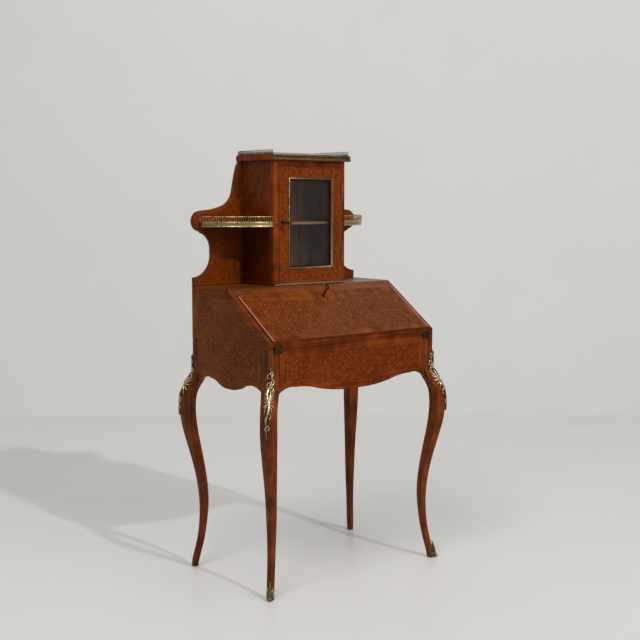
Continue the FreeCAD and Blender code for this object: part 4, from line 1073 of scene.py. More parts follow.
def tube(mesh: Mesh, path: Path, radii: Sequence[float], sides: int = 8, flat: float = 1.0,
         outward: Optional[Sequence[Vector]] = None) -> None:
    """Sweep a round or flattened section along a path, with closed ends.

    Args:
        mesh: The mesh to add to.
        path: The points.
        radii: The radius at each point.
        sides: How many sides the section has.
        flat: The section's height as a share of its width.
        outward: Which way the section's height points at each point.
    """
    rings = []
    for index, (point, radius) in enumerate(zip(path, radii)):
        ahead = path[min(index + 1, len(path) - 1)] - path[max(index - 1, 0)]
        ahead = ahead.normalized() if ahead.length > 1e-9 else UPRIGHT
        side = ahead.cross(outward[index] if outward else UPRIGHT)
        if side.length < 1e-6:
            side = ahead.cross(ACROSS_X)
        side.normalize()
        rise = side.cross(ahead).normalized()
        rings.append([point + side * (radius * cosine) + rise * (radius * flat * sine)
                      for cosine, sine in circle(sides)])
    join_rings(mesh, rings)


def closed_plate(mesh: Mesh, upper: Sequence[Path], lower: Sequence[Path],
                 material: int) -> None:
    """Make a closed plate between two grids of points.

    Args:
        mesh: The mesh to add to.
        upper: The rows of the outer face.
        lower: The rows of the inner face, in the same order.
        material: The material slot of its faces.
    """
    faces = [[[mesh.verts.new(point) for point in row] for row in grid] for grid in (upper, lower)]
    last_row, last_column = len(upper) - 1, len(upper[0]) - 1
    made = []
    for row in range(last_row):
        for column in range(last_column):
            for grid in faces:
                made.append(mesh.faces.new((grid[row][column], grid[row][column + 1],
                                            grid[row + 1][column + 1], grid[row + 1][column])))
    rim = [(0, column) for column in range(last_column)]
    rim += [(row, last_column) for row in range(last_row)]
    rim += [(last_row, column) for column in range(last_column, 0, -1)]
    rim += [(row, 0) for row in range(last_row, 0, -1)]
    top, under = faces
    for (row, column), (next_row, next_column) in zip(rim, rim[1:] + rim[:1]):
        made.append(mesh.faces.new((top[row][column], top[next_row][next_column],
                                    under[next_row][next_column], under[row][column])))
    for face in made:
        face.material_index = material


def lathe(mesh: Mesh, profile: Sequence[Point], place: Matrix, sides: int = 20) -> None:
    """Turn a profile about its own Z.

    Args:
        mesh: The mesh to add to.
        profile: Radius and height in mm, from the bottom up.
        place: Where the turning goes.
        sides: How many sides it has.
    """
    rings = []
    for wide, height in profile:
        radius = max(wide * MM, LEAST_RADIUS)
        rings.append([place @ Vector((radius * cosine, radius * sine, height * MM))
                      for cosine, sine in circle(sides)])
    join_rings(mesh, rings)


def ring_tube(mesh: Mesh, place: Matrix, wide: float, tall: float, wire: float,
              turns: int = 28, sides: int = 8) -> None:
    """An oval ring of wire in its own XZ plane.

    Args:
        mesh: The mesh to add to.
        place: Where the ring goes.
        wide: Half its width, to the middle of the wire.
        tall: Half its height, to the middle of the wire.
        wire: The wire's radius.
        turns: Steps round the ring.
        sides: Sides of the wire.
    """
    rings = []
    for cosine, sine in circle(turns):
        centre = Vector((wide * cosine, 0.0, tall * sine))
        out = Vector((cosine, 0.0, sine))
        rings.append([place @ (centre + out * (wire * across) + ALONG_Y * (wire * deep))
                      for across, deep in circle(sides)])
    join_rings(mesh, rings, closed=True)


def block(mesh: Mesh, low: Vector, high: Vector, place: Matrix) -> None:
    """Add a box between its lowest and its highest corner, in the frame of a place."""
    corners = ((low.x, low.y), (high.x, low.y), (high.x, high.y), (low.x, high.y))
    join_rings(mesh, [[place @ Vector((x, y, z)) for x, y in corners] for z in (low.z, high.z)])


def smooth_path(points: Sequence[Point], steps: int) -> list[Vector]:
    """A smooth curve through points of the XY plane.

    Args:
        points: The points.
        steps: New points for each gap.

    Returns:
        The curve's points.
    """
    fixed = [Vector((x, y, 0.0)) for x, y in points]
    fixed = [fixed[0] * 2 - fixed[1], *fixed, fixed[-1] * 2 - fixed[-2]]
    path = []
    for a, b, c, d in zip(fixed, fixed[1:], fixed[2:], fixed[3:]):
        for number in range(steps):
            t = number / steps
            path.append(0.5 * (2 * b + (c - a) * t + (2 * a - 5 * b + 4 * c - d) * t * t
                               + (3 * b - a - 3 * c + d) * t * t * t))
    path.append(fixed[-2])
    return path


def mirrored_copy(mesh: Mesh, x: float, y: float) -> Mesh:
    """A copy of a mesh with its X and Y multiplied, and its faces turned right way out.

    Args:
        mesh: The mesh.
        x: 1 or -1.
        y: 1 or -1.

    Returns:
        The new mesh.
    """
    copy = mesh.copy()
    for vert in copy.verts:
        vert.co = Vector((vert.co.x * x, vert.co.y * y, vert.co.z))
    if x * y < 0:
        bmesh.ops.reverse_faces(copy, faces=copy.faces)
    return copy


def joined(meshes: Iterable[Mesh]) -> Mesh:
    """Several meshes as one; they themselves are freed."""
    whole = bmesh.new()
    for mesh in meshes:
        data = bpy.data.meshes.new("part")
        mesh.to_mesh(data)
        mesh.free()
        whole.from_mesh(data)
        bpy.data.meshes.remove(data)
    return whole


@dataclass
class SubAssembly:
    """What every sub-assembly of the desk can do."""

    finishes: Finishes
    body: str = "desk"

    def add_piece(self, name: str, mesh: Mesh, finish: str, slot: str,
                  stands_for: Sequence[str] = (), body: str = "", sharp: float = 32.0) -> Piece:
        """Turn a mesh into a piece of the desk.

        Args:
            name: The piece's name.
            mesh: Its mesh, freed afterwards.
            finish: The finish's name.
            slot: Not used.
            stands_for: The nodes that it replaces.
            body: The body that it rides on, or the sub-assembly's own.
            sharp: The angle over which an edge stays sharp, in degrees.

        Returns:
            The piece.
        """
        bmesh.ops.recalc_face_normals(mesh, faces=mesh.faces)
        data = bpy.data.meshes.new(name)
        mesh.to_mesh(data)
        mesh.free()
        for polygon in data.polygons:
            polygon.use_smooth = True
        data.set_sharp_from_angle(angle=math.radians(sharp))
        data.materials.append(self.finishes[finish])
        piece = bpy.data.objects.new(name, data)
        bpy.context.collection.objects.link(piece)
        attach(piece, body or self.body)
        if stands_for:
            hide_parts(*stands_for)
        log.info("%s: %d faces on %s", name, len(data.polygons), body or self.body)
        return piece

    def also_finish(self, piece: Piece, finish: str,
                    faces: Callable[[bpy.types.MeshPolygon], bool]) -> None:
        """Give some of a piece's faces a second finish.

        Args:
            piece: The piece.
            finish: The second finish's name.
            faces: Tells whether a face takes it.
        """
        piece.data.materials.append(self.finishes[finish])
        for polygon in piece.data.polygons:
            polygon.material_index = 1 if faces(polygon) else 0

    def dress(self, finish: str, *nodes: str) -> None:
        """Give nodes of the frame a finish.

        Args:
            finish: The finish's name.
            nodes: The nodes.
        """
        for name in nodes:
            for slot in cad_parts[name].material_slots:
                slot.link = "OBJECT"
                slot.material = self.finishes[finish]
            log.info("%s: finished in %s", name, finish)

    def add_board(self, node: str, finish: str, slot: str, ease: float = 0.7 * MM,
                  body: str = "") -> None:
        """Replace a board's node by a copy with eased edges.

        Args:
            node: The node.
            finish: The finish's name.
            slot: Not used.
            ease: How far the edges are rounded.
            body: The body that it rides on, or the sub-assembly's own.
        """
        mesh = clean_copy(node)
        ease_edges(mesh, ease)
        self.add_piece(f"{node}_eased", mesh, finish, slot, (node,), body)

    def add_panel(self, node: str, finish: str, slot: str, along: Vector, across: Vector,
                  ease: float = 0.7 * MM, body: str = "", spacing: float = 6 * MM) -> None:
        """Replace a panel's node by a copy with eased edges and a veneered border.

        Args:
            node: The node.
            finish: The finish's name.
            slot: Not used.
            along: The panel's first direction.
            across: Its second direction.
            ease: How far the edges are rounded.
            body: The body that it rides on, or the sub-assembly's own.
            spacing: The size of the small faces that store the border's place.
        """
        mesh = clean_copy(node)
        ease_edges(mesh, ease)
        mark_reach(mesh, along, across, spacing)
        piece = self.add_piece(f"{node}_veneered", mesh, finish, slot, (node,), body)
        normal = along.cross(across)
        self.also_finish(piece, "level_veneer", lambda face: abs(face.normal.dot(normal)) <= 0.6)


# Sub-assemblies


@dataclass
class Carcass(SubAssembly):
    """Legs, aprons, sides, top, writing bed and what holds them."""

    leg_ease: float = 1.6 * MM

    def build(self) -> None:
        """Make and dress the carcass."""
        for leg in ("leg_front_left", "leg_front_right", "leg_rear_left", "leg_rear_right"):
            mesh = node_copy(leg)
            ease_edges(mesh, self.leg_ease, angle=50.0)
            self.add_piece(f"{leg}_shaped", mesh, "leg_veneer", "veneer_banding", (leg,))
        for node, finish, along, across in (
            ("front_apron", "apron_parquetry", ACROSS_X, UPRIGHT),
            ("side_panel_left", "side_parquetry", ALONG_Y, UPRIGHT),
            ("side_panel_right", "side_parquetry", ALONG_Y, UPRIGHT),
            ("top_board", "top_parquetry", ACROSS_X, ALONG_Y),
        ):
            self.add_panel(node, finish, "veneer_marquetry", along, across)
        for node in ("rear_apron", "back_panel", "bed_bearers", "lock_rail"):
            self.add_board(node, "carcass_oak", "carcass_wood")
        self.add_board("writing_bed", "inside_level", "interior_wood")


@dataclass
class WingBoard(SubAssembly):
    """The shaped board behind the cabinet and the corner shelves."""

    def build(self) -> None:
        """Make the board."""
        self.add_panel("back_board", "wing_parquetry", "veneer_marquetry", ACROSS_X, UPRIGHT)


@dataclass
class GiltMounts(SubAssembly):
    """Cast scrollwork on the knees and shoes with scrolled toes on the front feet."""

    low: float = 476 * MM
    high: float = 676 * MM
    swell: float = 3.4 * MM
    swell_width: float = 9 * MM
    bend: float = 5 * MM
    ray_start: Point = (-0.45, -0.33)
    post_edge: Point = (-0.319, -0.199)
    leg: BVHTree = field(init=False)

    # Stems and leaves of the scrollwork, in mm: how far round from the ridge (the front face is
    # positive) and how high above the mount's foot, then the radius at the start, at the
    # thickest point and at the end
    strokes = (
        (((4, 199), (3, 186), (6, 172), (7, 160), (3, 147), (-2, 134), (-3, 120), (1, 104),
          (2, 88), (0, 70), (-3, 52), (-2, 36), (-3, 20), (-1, 8), (-1, 0)), (0.9, 3.9, 0.6)),
        (((3, 184), (9, 183), (11, 175), (7, 170)), (1.4, 2.3, 1.5)),
        (((3, 180), (-3, 176), (-4, 168), (1, 166)), (1.3, 2.0, 1.3)),
        (((7, 162), (13, 160), (14, 151), (8, 146), (5, 150)), (1.4, 2.8, 1.4)),
        (((4, 156), (-3, 152), (-7, 143), (-5, 133)), (1.4, 2.8, 0.8)),
        (((0, 138), (8, 140), (13, 134), (12, 126)), (1.4, 2.6, 1.0)),
        (((-2, 130), (-9, 131), (-13, 124), (-10, 117)), (1.4, 2.4, 1.2)),
        (((1, 108), (5, 122), (4, 136)), (2.2, 3.0, 0.6)),
        (((1, 106), (11, 117), (21, 131)), (2.2, 3.2, 0.6)),
        (((2, 104), (13, 110), (23, 117)), (2.2, 3.2, 0.6)),
        (((2, 101), (13, 101), (23, 102)), (2.2, 3.2, 0.6)),
        (((2, 98), (12, 92), (21, 86)), (2.2, 3.2, 0.6)),
        (((1, 95), (9, 85), (14, 73)), (2.2, 3.2, 0.6)),
        (((0, 107), (-7, 116), (-12, 129)), (2.2, 3.0, 0.6)),
        (((0, 104), (-11, 110), (-21, 117)), (2.2, 3.2, 0.6)),
        (((0, 101), (-12, 101), (-23, 101)), (2.2, 3.2, 0.6)),
        (((0, 98), (-11, 91), (-20, 85)), (2.2, 3.2, 0.6)),
        (((-1, 95), (-8, 84), (-13, 71)), (2.2, 3.2, 0.6)),
        (((1, 92), (3, 79), (1, 66)), (2.0, 2.8, 0.6)),
        (((0, 74), (7, 70), (9, 61), (4, 56)), (1.4, 2.2, 1.0)),
        (((-2, 62), (-7, 57), (-7, 48), (-3, 44)), (1.3, 2.0, 0.8)),
        (((-2, 40), (3, 36), (4, 28), (0, 25)), (1.2, 1.8, 0.9)),
        (((-3, 33), (-8, 30), (-7, 22)), (1.1, 1.8, 0.7)),
    )
    shoe_strokes = (
        (((0, 8), (0, 24), (0, 42), (0, 57)), (3.2, 3.6, 0.8)),
        (((0, 22), (6, 28), (9, 36), (8, 44)), (1.8, 2.6, 0.7)),
        (((2, 12), (9, 16), (12, 24), (12, 31)), (2.0, 2.6, 0.7)),
        (((1, 5), (8, 6), (13, 10), (14, 16)), (2.0, 2.4, 0.9)),
    )

    # The share of a stroke's length where it is thickest, and how far its middle line is off
    # the leg as a share of its radius
    thickest = 0.45
    off_leg = 0.45

    # The knee plate's half widths where it is bare, at its leaves and at its scrolls, and its
    # face's height, the veins' height and how far its rim is let in
    bare_half = 1.3 * MM
    leaf_half = 11 * MM
    scroll_half = 3.5 * MM
    face_lift = 1.3 * MM
    vein_lift = 0.5 * MM
    rim_sunk = 0.8 * MM

    # In mm: the height of the shoe's shell at its sides, what it gains on the ridge and at each
    # scallop, its foot and its half width
    shell_side = 16
    shell_gain = 26
    shell_scallop = 3
    shell_foot = 0.8
    shell_half = 13.5

    # The toe's scroll at its start and its end: the turn in degrees, and in mm the spiral's
    # radius, how far it stands to the side and the stem's radius
    toe_turn = (150, -410)
    toe_radius = (5.0, 0.8)
    toe_side = (1.6, 5.0)
    toe_stem = (1.7, 1.0)
    toe_height = 6.6 * MM
    toe_boss = ((0, -5.2), (3.4, -5.0), (4.6, -3.0), (5.2, 0.0), (4.6, 3.0), (3.4, 5.0), (0, 5.2))

    def build(self) -> None:
        """Make the four knee mounts and the two shoes."""
        leg = clean_copy("leg_front_left")
        self.leg = BVHTree.FromBMesh(leg)
        leg.free()
        self.cast("knee_mounts", self.knee(), ((1, 1), (-1, 1), (1, -1), (-1, -1)), "gilt")
        self.cast("sabots", self.shoe(), ((1, 1), (-1, 1)), "sabot_gilt")

    def cast(self, node: str, mesh: Mesh, corners: Sequence[tuple[int, int]],
             finish: str) -> None:
        """Add the same mount to several legs, as one piece whose plate is dark as painted shade
        between the strokes.

        Args:
            node: The node that the mounts replace.
            mesh: The front left leg's mount, freed afterwards.
            corners: For each leg, what the mount's X and Y are multiplied by.
            finish: The finish's name.
        """
        copies = [mirrored_copy(mesh, x, y) for x, y in corners]
        mesh.free()
        piece = self.add_piece(f"{node}_cast", joined(copies), finish, "gilt_brass", (node,),
                               sharp=60.0)
        piece.data.materials.append(self.finishes["gilt_painted_shade"])

    def knee(self) -> Mesh:
        """The front left knee's scrollwork on its lobed plate."""
        mesh = bmesh.new()
        for points, thickness in self.strokes:
            self.stroke(mesh, points, thickness, self.low)
        self.plate(mesh, rows=60, columns=10, thickness=2.6 * MM, outline=self.knee_outline)
        return mesh

    def shoe(self) -> Mesh:
        """The front left foot's shoe: a leaf up the ridge, a shell and a scrolled toe."""
        mesh = bmesh.new()
        for points, thickness in self.shoe_strokes:
            on_ridge = all(across == 0 for across, _ in points)
            for side in (1,) if on_ridge else (1, -1):
                self.stroke(mesh, points, thickness, 0.0, side)
        self.plate(mesh, rows=14, columns=12, thickness=2.4 * MM, outline=self.shoe_outline)
        self.toe(mesh)
        return mesh

    def ridge(self, height: float) -> Vector:
        """The outermost point of the front left leg at a height above the floor."""
        hit = self.leg.ray_cast(Vector((*self.ray_start, height)), -FRONT_LEFT)[0]
        return hit or Vector((*self.post_edge, height))

    def on_leg(self, round_ridge: float, height: float, lift: float) -> tuple[Vector, Vector]:
        """A point over the leg's two outer faces.

        Args:
            round_ridge: Distance from the ridge, positive on the front face.
            height: The height above the floor.
            lift: How far off the leg.

        Returns:
            The point and the direction off the leg there.
        """
        away = abs(round_ridge)
        face, step = (FORWARD, ACROSS_X) if round_ridge >= 0 else (LEFTWARD, ALONG_Y)
        blend = math.exp(-away / self.bend)
        normal = (face * (1 - blend) + FRONT_LEFT * blend).normalized()
        crown = self.swell * hump(away, 0.0, self.swell_width)
        return self.ridge(height) + step * away + normal * (lift + crown), normal

    def stroke(self, mesh: Mesh, points: Sequence[Point], thickness: tuple[float, float, float],
               foot: float, side: int = 1) -> None:
        """Lay one tapering stem of scrollwork on the leg.

        Args:
            mesh: The mesh to add to.
            points: How far round the ridge and how high above the mount's foot, in mm.
            thickness: Radius at the start, the thickest point and the end, in mm.
            foot: The height of the mount's foot.
            side: 1 as given, -1 with the two faces exchanged.
        """
        path, normals, radii = [], [], []
        curve = smooth_path(points, steps=5)
        start, middle, end = (value * MM for value in thickness)
        for number, point in enumerate(curve):
            share = number / (len(curve) - 1)
            if share < self.thickest:
                radius = start + (middle - start) * share / self.thickest
            else:
                radius = middle + (end - middle) * (share - self.thickest) / (1 - self.thickest)
            place, normal = self.on_leg(side * point.x * MM, foot + point.y * MM,
                                        radius * self.off_leg)
            path.append(place)
            normals.append(normal)
            radii.append(radius)
        tube(mesh, path, radii, flat=0.95, outward=normals)

    def plate(self, mesh: Mesh, rows: int, columns: int, thickness: float,
              outline: Callable[[float, float], tuple[float, float, float]]) -> None:
        """Add a thin plate that follows the leg's two faces, in the second finish, which is dark
        as painted shade.

        Args:
            mesh: The mesh to add to.
            rows: Faces from its foot to its head.
            columns: Faces from side to side.
            thickness: How thick it is.
            outline: Gives, for a share of the way up and a share across from -1 to 1, how far
                round the ridge, how high and how far off the leg the plate's face is.
        """
        grids: list[list[Path]] = []
        for sunk in (0.0, thickness):
            grid: list[Path] = []
            for row in range(rows + 1):
                line = []
                for column in range(columns + 1):
                    across, height, lift = outline(row / rows, column / columns * 2 - 1)
                    line.append(self.on_leg(across, height, lift - sunk)[0])
                grid.append(line)
            grids.append(grid)
        closed_plate(mesh, *grids, 1)

    def knee_outline(self, up: float, across: float) -> tuple[float, float, float]:
        """The knee plate's lobed outline and veined face.

        Args:
            up: The share of the way up.
            across: The share of the way across, from -1 to 1.

        Returns:
            How far round the ridge, how high and how far off the leg.
        """
        lobes = 0.72 + 0.28 * abs(math.sin(up * math.pi * 4.5))
        leaves = self.leaf_half * hump(up, middle=0.52, spread=0.15) * lobes
        scrolls = self.scroll_half * hump(up, middle=0.78, spread=0.10)
        half = self.bare_half + leaves + scrolls
        edge = abs(across)
        rim = edge ** 6
        veins = self.vein_lift * math.cos(edge * math.pi * 5)
        lift = (self.face_lift + veins) * (1 - rim) - self.rim_sunk * rim
        return across * half, between((self.low, self.high), 0.02 + 0.93 * up), lift

    def shoe_outline(self, up: float, across: float) -> tuple[float, float, float]:
        """The shoe's shell, highest on the ridge and scalloped along its top.

        Args:
            up: The share of the way up.
            across: The share of the way across, from -1 to 1.

        Returns:
            How far round the ridge, how high and how far off the leg.
        """
        edge = abs(across)
        top = (self.shell_side + self.shell_gain * (1 - edge) ** 1.4
               + self.shell_scallop * abs(math.cos(edge * 7.5)))
        height = between((self.shell_foot * MM, top * MM), up)
        return across * self.shell_half * MM, height, (1.4 - 0.9 * up ** 4) * MM

    def toe(self, mesh: Mesh) -> None:
        """Add the scroll that the foot ends in."""
        low, _ = node_box("sabots")
        side = Vector((1.0, -1.0, 0.0)).normalized()
        foot = self.ridge(6 * MM)
        reach = (Vector((low.x, low.y, foot.z)) - foot).dot(FRONT_LEFT)
        centre = foot + FRONT_LEFT * min(reach * 0.5, 7 * MM)
        centre.z = self.toe_height
        steps = 30
        for half in (1, -1):
            path, radii = [], []
            for number in range(steps):
                turn = number / (steps - 1)
                angle = math.radians(between(self.toe_turn, turn))
                radius = between(self.toe_radius, turn) * MM
                path.append(centre + FRONT_LEFT * (radius * math.cos(angle))
                            + UPRIGHT * (radius * math.sin(angle))
                            + side * half * between(self.toe_side, turn) * MM)
                radii.append(between(self.toe_stem, turn) * MM)
            tube(mesh, path, radii, sides=7)
        lathe(mesh, self.toe_boss, Matrix.Translation(centre) @ facing(side), sides=18)


@dataclass
class Key(SubAssembly):
    """A lock's key, with an oval ring bow, collars, a shank and a bit."""

    node: str = "fall_lock_key"
    out: Vector = field(default_factory=lambda: SLOPE_OUT.copy())
    up: Vector = field(default_factory=lambda: SLOPE_UP.copy())
    hole: Vector = field(default_factory=lambda: Vector((0.0, -46.091, 847.929)) * MM)
    length: float = 44 * MM
    bow: float = 9 * MM
    wire: float = 2.3 * MM
    deepest: float = -16.2 * MM

    # Radius and height in mm: the shoulder over the plate, and the collars round the bow's foot
    shoulder = ((1.9, 0.8), (4.6, 0.9), (5.0, 2.6), (4.4, 4.6), (3.0, 6.0))
    collars = ((3.3, -6.0), (4.6, -5.0), (4.6, -4.2), (3.3, -3.4), (2.6, -2.6), (3.9, -1.6),
               (3.9, -0.6), (2.8, 0.6), (1.9, 1.8), (0.0, 2.0))

    # In mm: the escutcheon's half width and half height, the keyhole's radius and its slot's reach
    plate_size = (5.6, 8.0)
    keyhole = (2.5, 5.8)

    # In mm: the height of the escutcheon's inner foot, inner rim, outer rim and outer foot
    plate_lifts = (0.1, 0.75, 0.55, 0.02)

    # In mm: the bit's first corner, over the shank's tip, and its size
    bit_corner = (-0.9, -5.2, 0.2)
    bit_size = (1.8, 4.4, 2.6)

    def place(self) -> Matrix:
        """The key's own frame: Z points out at the hand, Y up the board."""
        turn = Matrix((self.up.cross(self.out), self.up, self.out)).transposed().to_4x4()
        return Matrix.Translation(self.hole) @ turn

    def build(self) -> None:
        """Make the key."""
        mesh = bmesh.new()
        place = self.place()
        tip = max(self.deepest, min((corner - self.hole).dot(self.out)
                                    for corner in node_box(self.node))) / MM
        collar = (self.length - self.bow * 2) / MM
        collars = [(wide, collar + height) for wide, height in self.collars]
        profile = ((0, tip), (1.7, tip), (1.9, tip + 0.5), *self.shoulder, *collars)
        lathe(mesh, profile, place, sides=18)
        middle = Matrix.Translation((0.0, 0.0, self.length - self.bow))
        quarter = Matrix.Rotation(math.radians(90), 4, "Z")
        ring_tube(mesh, place @ middle @ quarter, self.bow - self.wire - 0.8 * MM,
                  self.bow - self.wire - 0.1 * MM, self.wire)
        x, y, over_tip = self.bit_corner
        bit_low = Vector((x, y, tip + over_tip)) * MM
        block(mesh, bit_low, bit_low + Vector(self.bit_size) * MM, place)
        self.add_piece(f"{self.node}_turned", mesh, "key_metal", "key_brass", (self.node,),
                       sharp=50.0)

    def escutcheon(self, body: str) -> None:
        """Add the shaped plate round the keyhole, to the body that carries it."""
        mesh = bmesh.new()
        place = self.place()
        wide, tall = self.plate_size
        radius, slot = self.keyhole
        outer = []
        inner = []
        steps = 40
        for number, (cosine, sine) in enumerate(circle(steps)):
            swell = 1 + 0.10 * math.cos(2 * math.pi * number / steps * 4)
            outer.append((wide * swell * cosine, tall * swell * sine))
            inner.append((radius * cosine, (radius if sine > -0.2 else slot) * sine))
        rims = zip((inner, inner, outer, outer), self.plate_lifts)
        join_rings(mesh, [[place @ (Vector((x, y, lift)) * MM) for x, y in loop]
                          for loop, lift in rims], closed=True)
        self.add_piece(f"{self.node}_escutcheon", mesh, "dark_brass_and_shade", "hinge_brass", body=body)


def slotted_screw(mesh: Mesh, place: Matrix, radius: float, turn: float) -> None:
    """A low domed screw head with a slot.

    Args:
        mesh: The mesh to add to.
        place: Its frame, Z out of the plate.
        radius: The head's radius.
        turn: Which way the slot points, in radians.
    """
    dome = ((0, 0), (1, 0), (0.96, 0.14), (0.7, 0.28), (0, 0.32))
    size = radius / MM
    lathe(mesh, [(size * wide, size * height) for wide, height in dome], place, sides=14)
    slot = place @ Matrix.Rotation(turn, 4, "Z")
    for side in (-1, 1):
        low, high = Vector((-0.8, side * 0.13, 0.18)), Vector((0.8, side * 0.20, 0.36))
        block(mesh, low * radius, high * radius, slot)


@dataclass
class FallFront(SubAssembly):
    """The sloping fall with its leather, lock, key and planted hinges."""

    body: str = "fall"
    leaf_face: float = -199.7 * MM
    leaf_half: float = 15 * MM
    screw_apart: float = 9.5 * MM
    screw_in: float = 4.2 * MM
    screw_radius: float = 1.9 * MM
    pin_half: float = 14.4 * MM
    pin_y: float = -201.6 * MM
    pin_z: float = 719.2335 * MM

    pin_cap = ((0, -0.4), (2.5, -0.2), (2.5, 0.25), (1.5, 0.5), (0, 0.6))

    def build(self) -> None:
        """Make and dress the fall and what it carries."""
        self.add_panel("fall_board", "fall_parquetry", "veneer_marquetry", ACROSS_X, SLOPE_UP,
                       1.8 * MM, spacing=7 * MM)
        leather = clean_copy("fall_leather")
        mark_reach(leather, ACROSS_X, SLOPE_UP, 8 * MM)
        self.add_piece("fall_leather_tooled", leather, "desk_leather", "writing_leather",
                       ("fall_leather",))
        self.dress("lock_iron", "fall_lock_case", "fall_lock_bolt")
        key = Key(self.finishes, body="fall_key")
        key.build()
        key.escutcheon("fall")
        self.hinges()

    def hinges(self) -> None:
        """Dress the hinges and add their screws and the caps of their pins."""
        self.dress("planted_brass", "fall_hinge_fixed_leaves", "fall_hinge_moving_leaves")
        seeded = random.Random(4)
        low, high = node_box("fall_hinge_fixed_leaves")
        _, moving_high = node_box("fall_hinge_moving_leaves")
        fixed, moving = bmesh.new(), bmesh.new()
        rows = ((fixed, low.z + self.screw_in), (moving, moving_high.z - self.screw_in))
        for side in (-1, 1):
            middle = side * ((high.x - low.x) / 2 - self.leaf_half)
            for offset in (-self.screw_apart, self.screw_apart):
                for mesh, height in rows:
                    place = Matrix.Translation((middle + offset, self.leaf_face, height))
                    slotted_screw(mesh, place @ facing(FORWARD), self.screw_radius,
                                  seeded.uniform(0, math.pi))
            for end in (-1, 1):
                place = Matrix.Translation((middle + end * self.pin_half, self.pin_y, self.pin_z))
                lathe(fixed, self.pin_cap, place @ facing(ACROSS_X * end), sides=14)
        for name, mesh, body in (("fall_hinge_screws_fixed", fixed, "desk"),
                                 ("fall_hinge_screws_moving", moving, "fall")):
            self.add_piece(name, mesh, "dark_brass_and_shade", "hinge_brass", body=body)


@dataclass
class Fitting(SubAssembly):
    """Pigeonholes and drawers behind the fall."""

    knob = (
        (0.0, -9.0), (1.8, -9.0), (1.8, 0.0), (4.6, 0.0), (4.9, 0.5), (4.4, 1.1), (2.9, 1.8),
        (2.5, 3.2), (2.6, 4.6), (4.2, 5.8), (5.9, 7.4), (6.4, 9.2), (5.9, 11.0), (4.3, 12.2),
        (2.2, 12.8), (0.0, 13.0),
    )

    def build(self) -> None:
        """Make and dress the fitting."""
        for node in ("pigeonhole_uprights", "pigeonhole_short_uprights"):
            self.add_board(node, "inside_upright", "interior_wood", 0.8 * MM)
        self.add_board("pigeonhole_shelves", "inside_level", "interior_wood", 0.8 * MM)
        for side in ("left", "right"):
            body = f"drawer_{side}"
            self.add_board(f"drawer_front_{side}", "level_veneer", "interior_wood", 0.8 * MM,
                           body)
            self.add_board(f"drawer_tray_{side}", "inside_deep", "interior_wood", 0.5 * MM, body)
            low, high = node_box(f"drawer_front_{side}")
            middle = (low + high) / 2
            mesh = bmesh.new()
            place = Matrix.Translation((middle.x, low.y, middle.z))
            lathe(mesh, self.knob, place @ facing(FORWARD), sides=22)
            self.add_piece(f"drawer_knob_{side}_turned", mesh, "gilt", "gilt_brass",
                           (f"drawer_knob_{side}",), body, sharp=40.0)


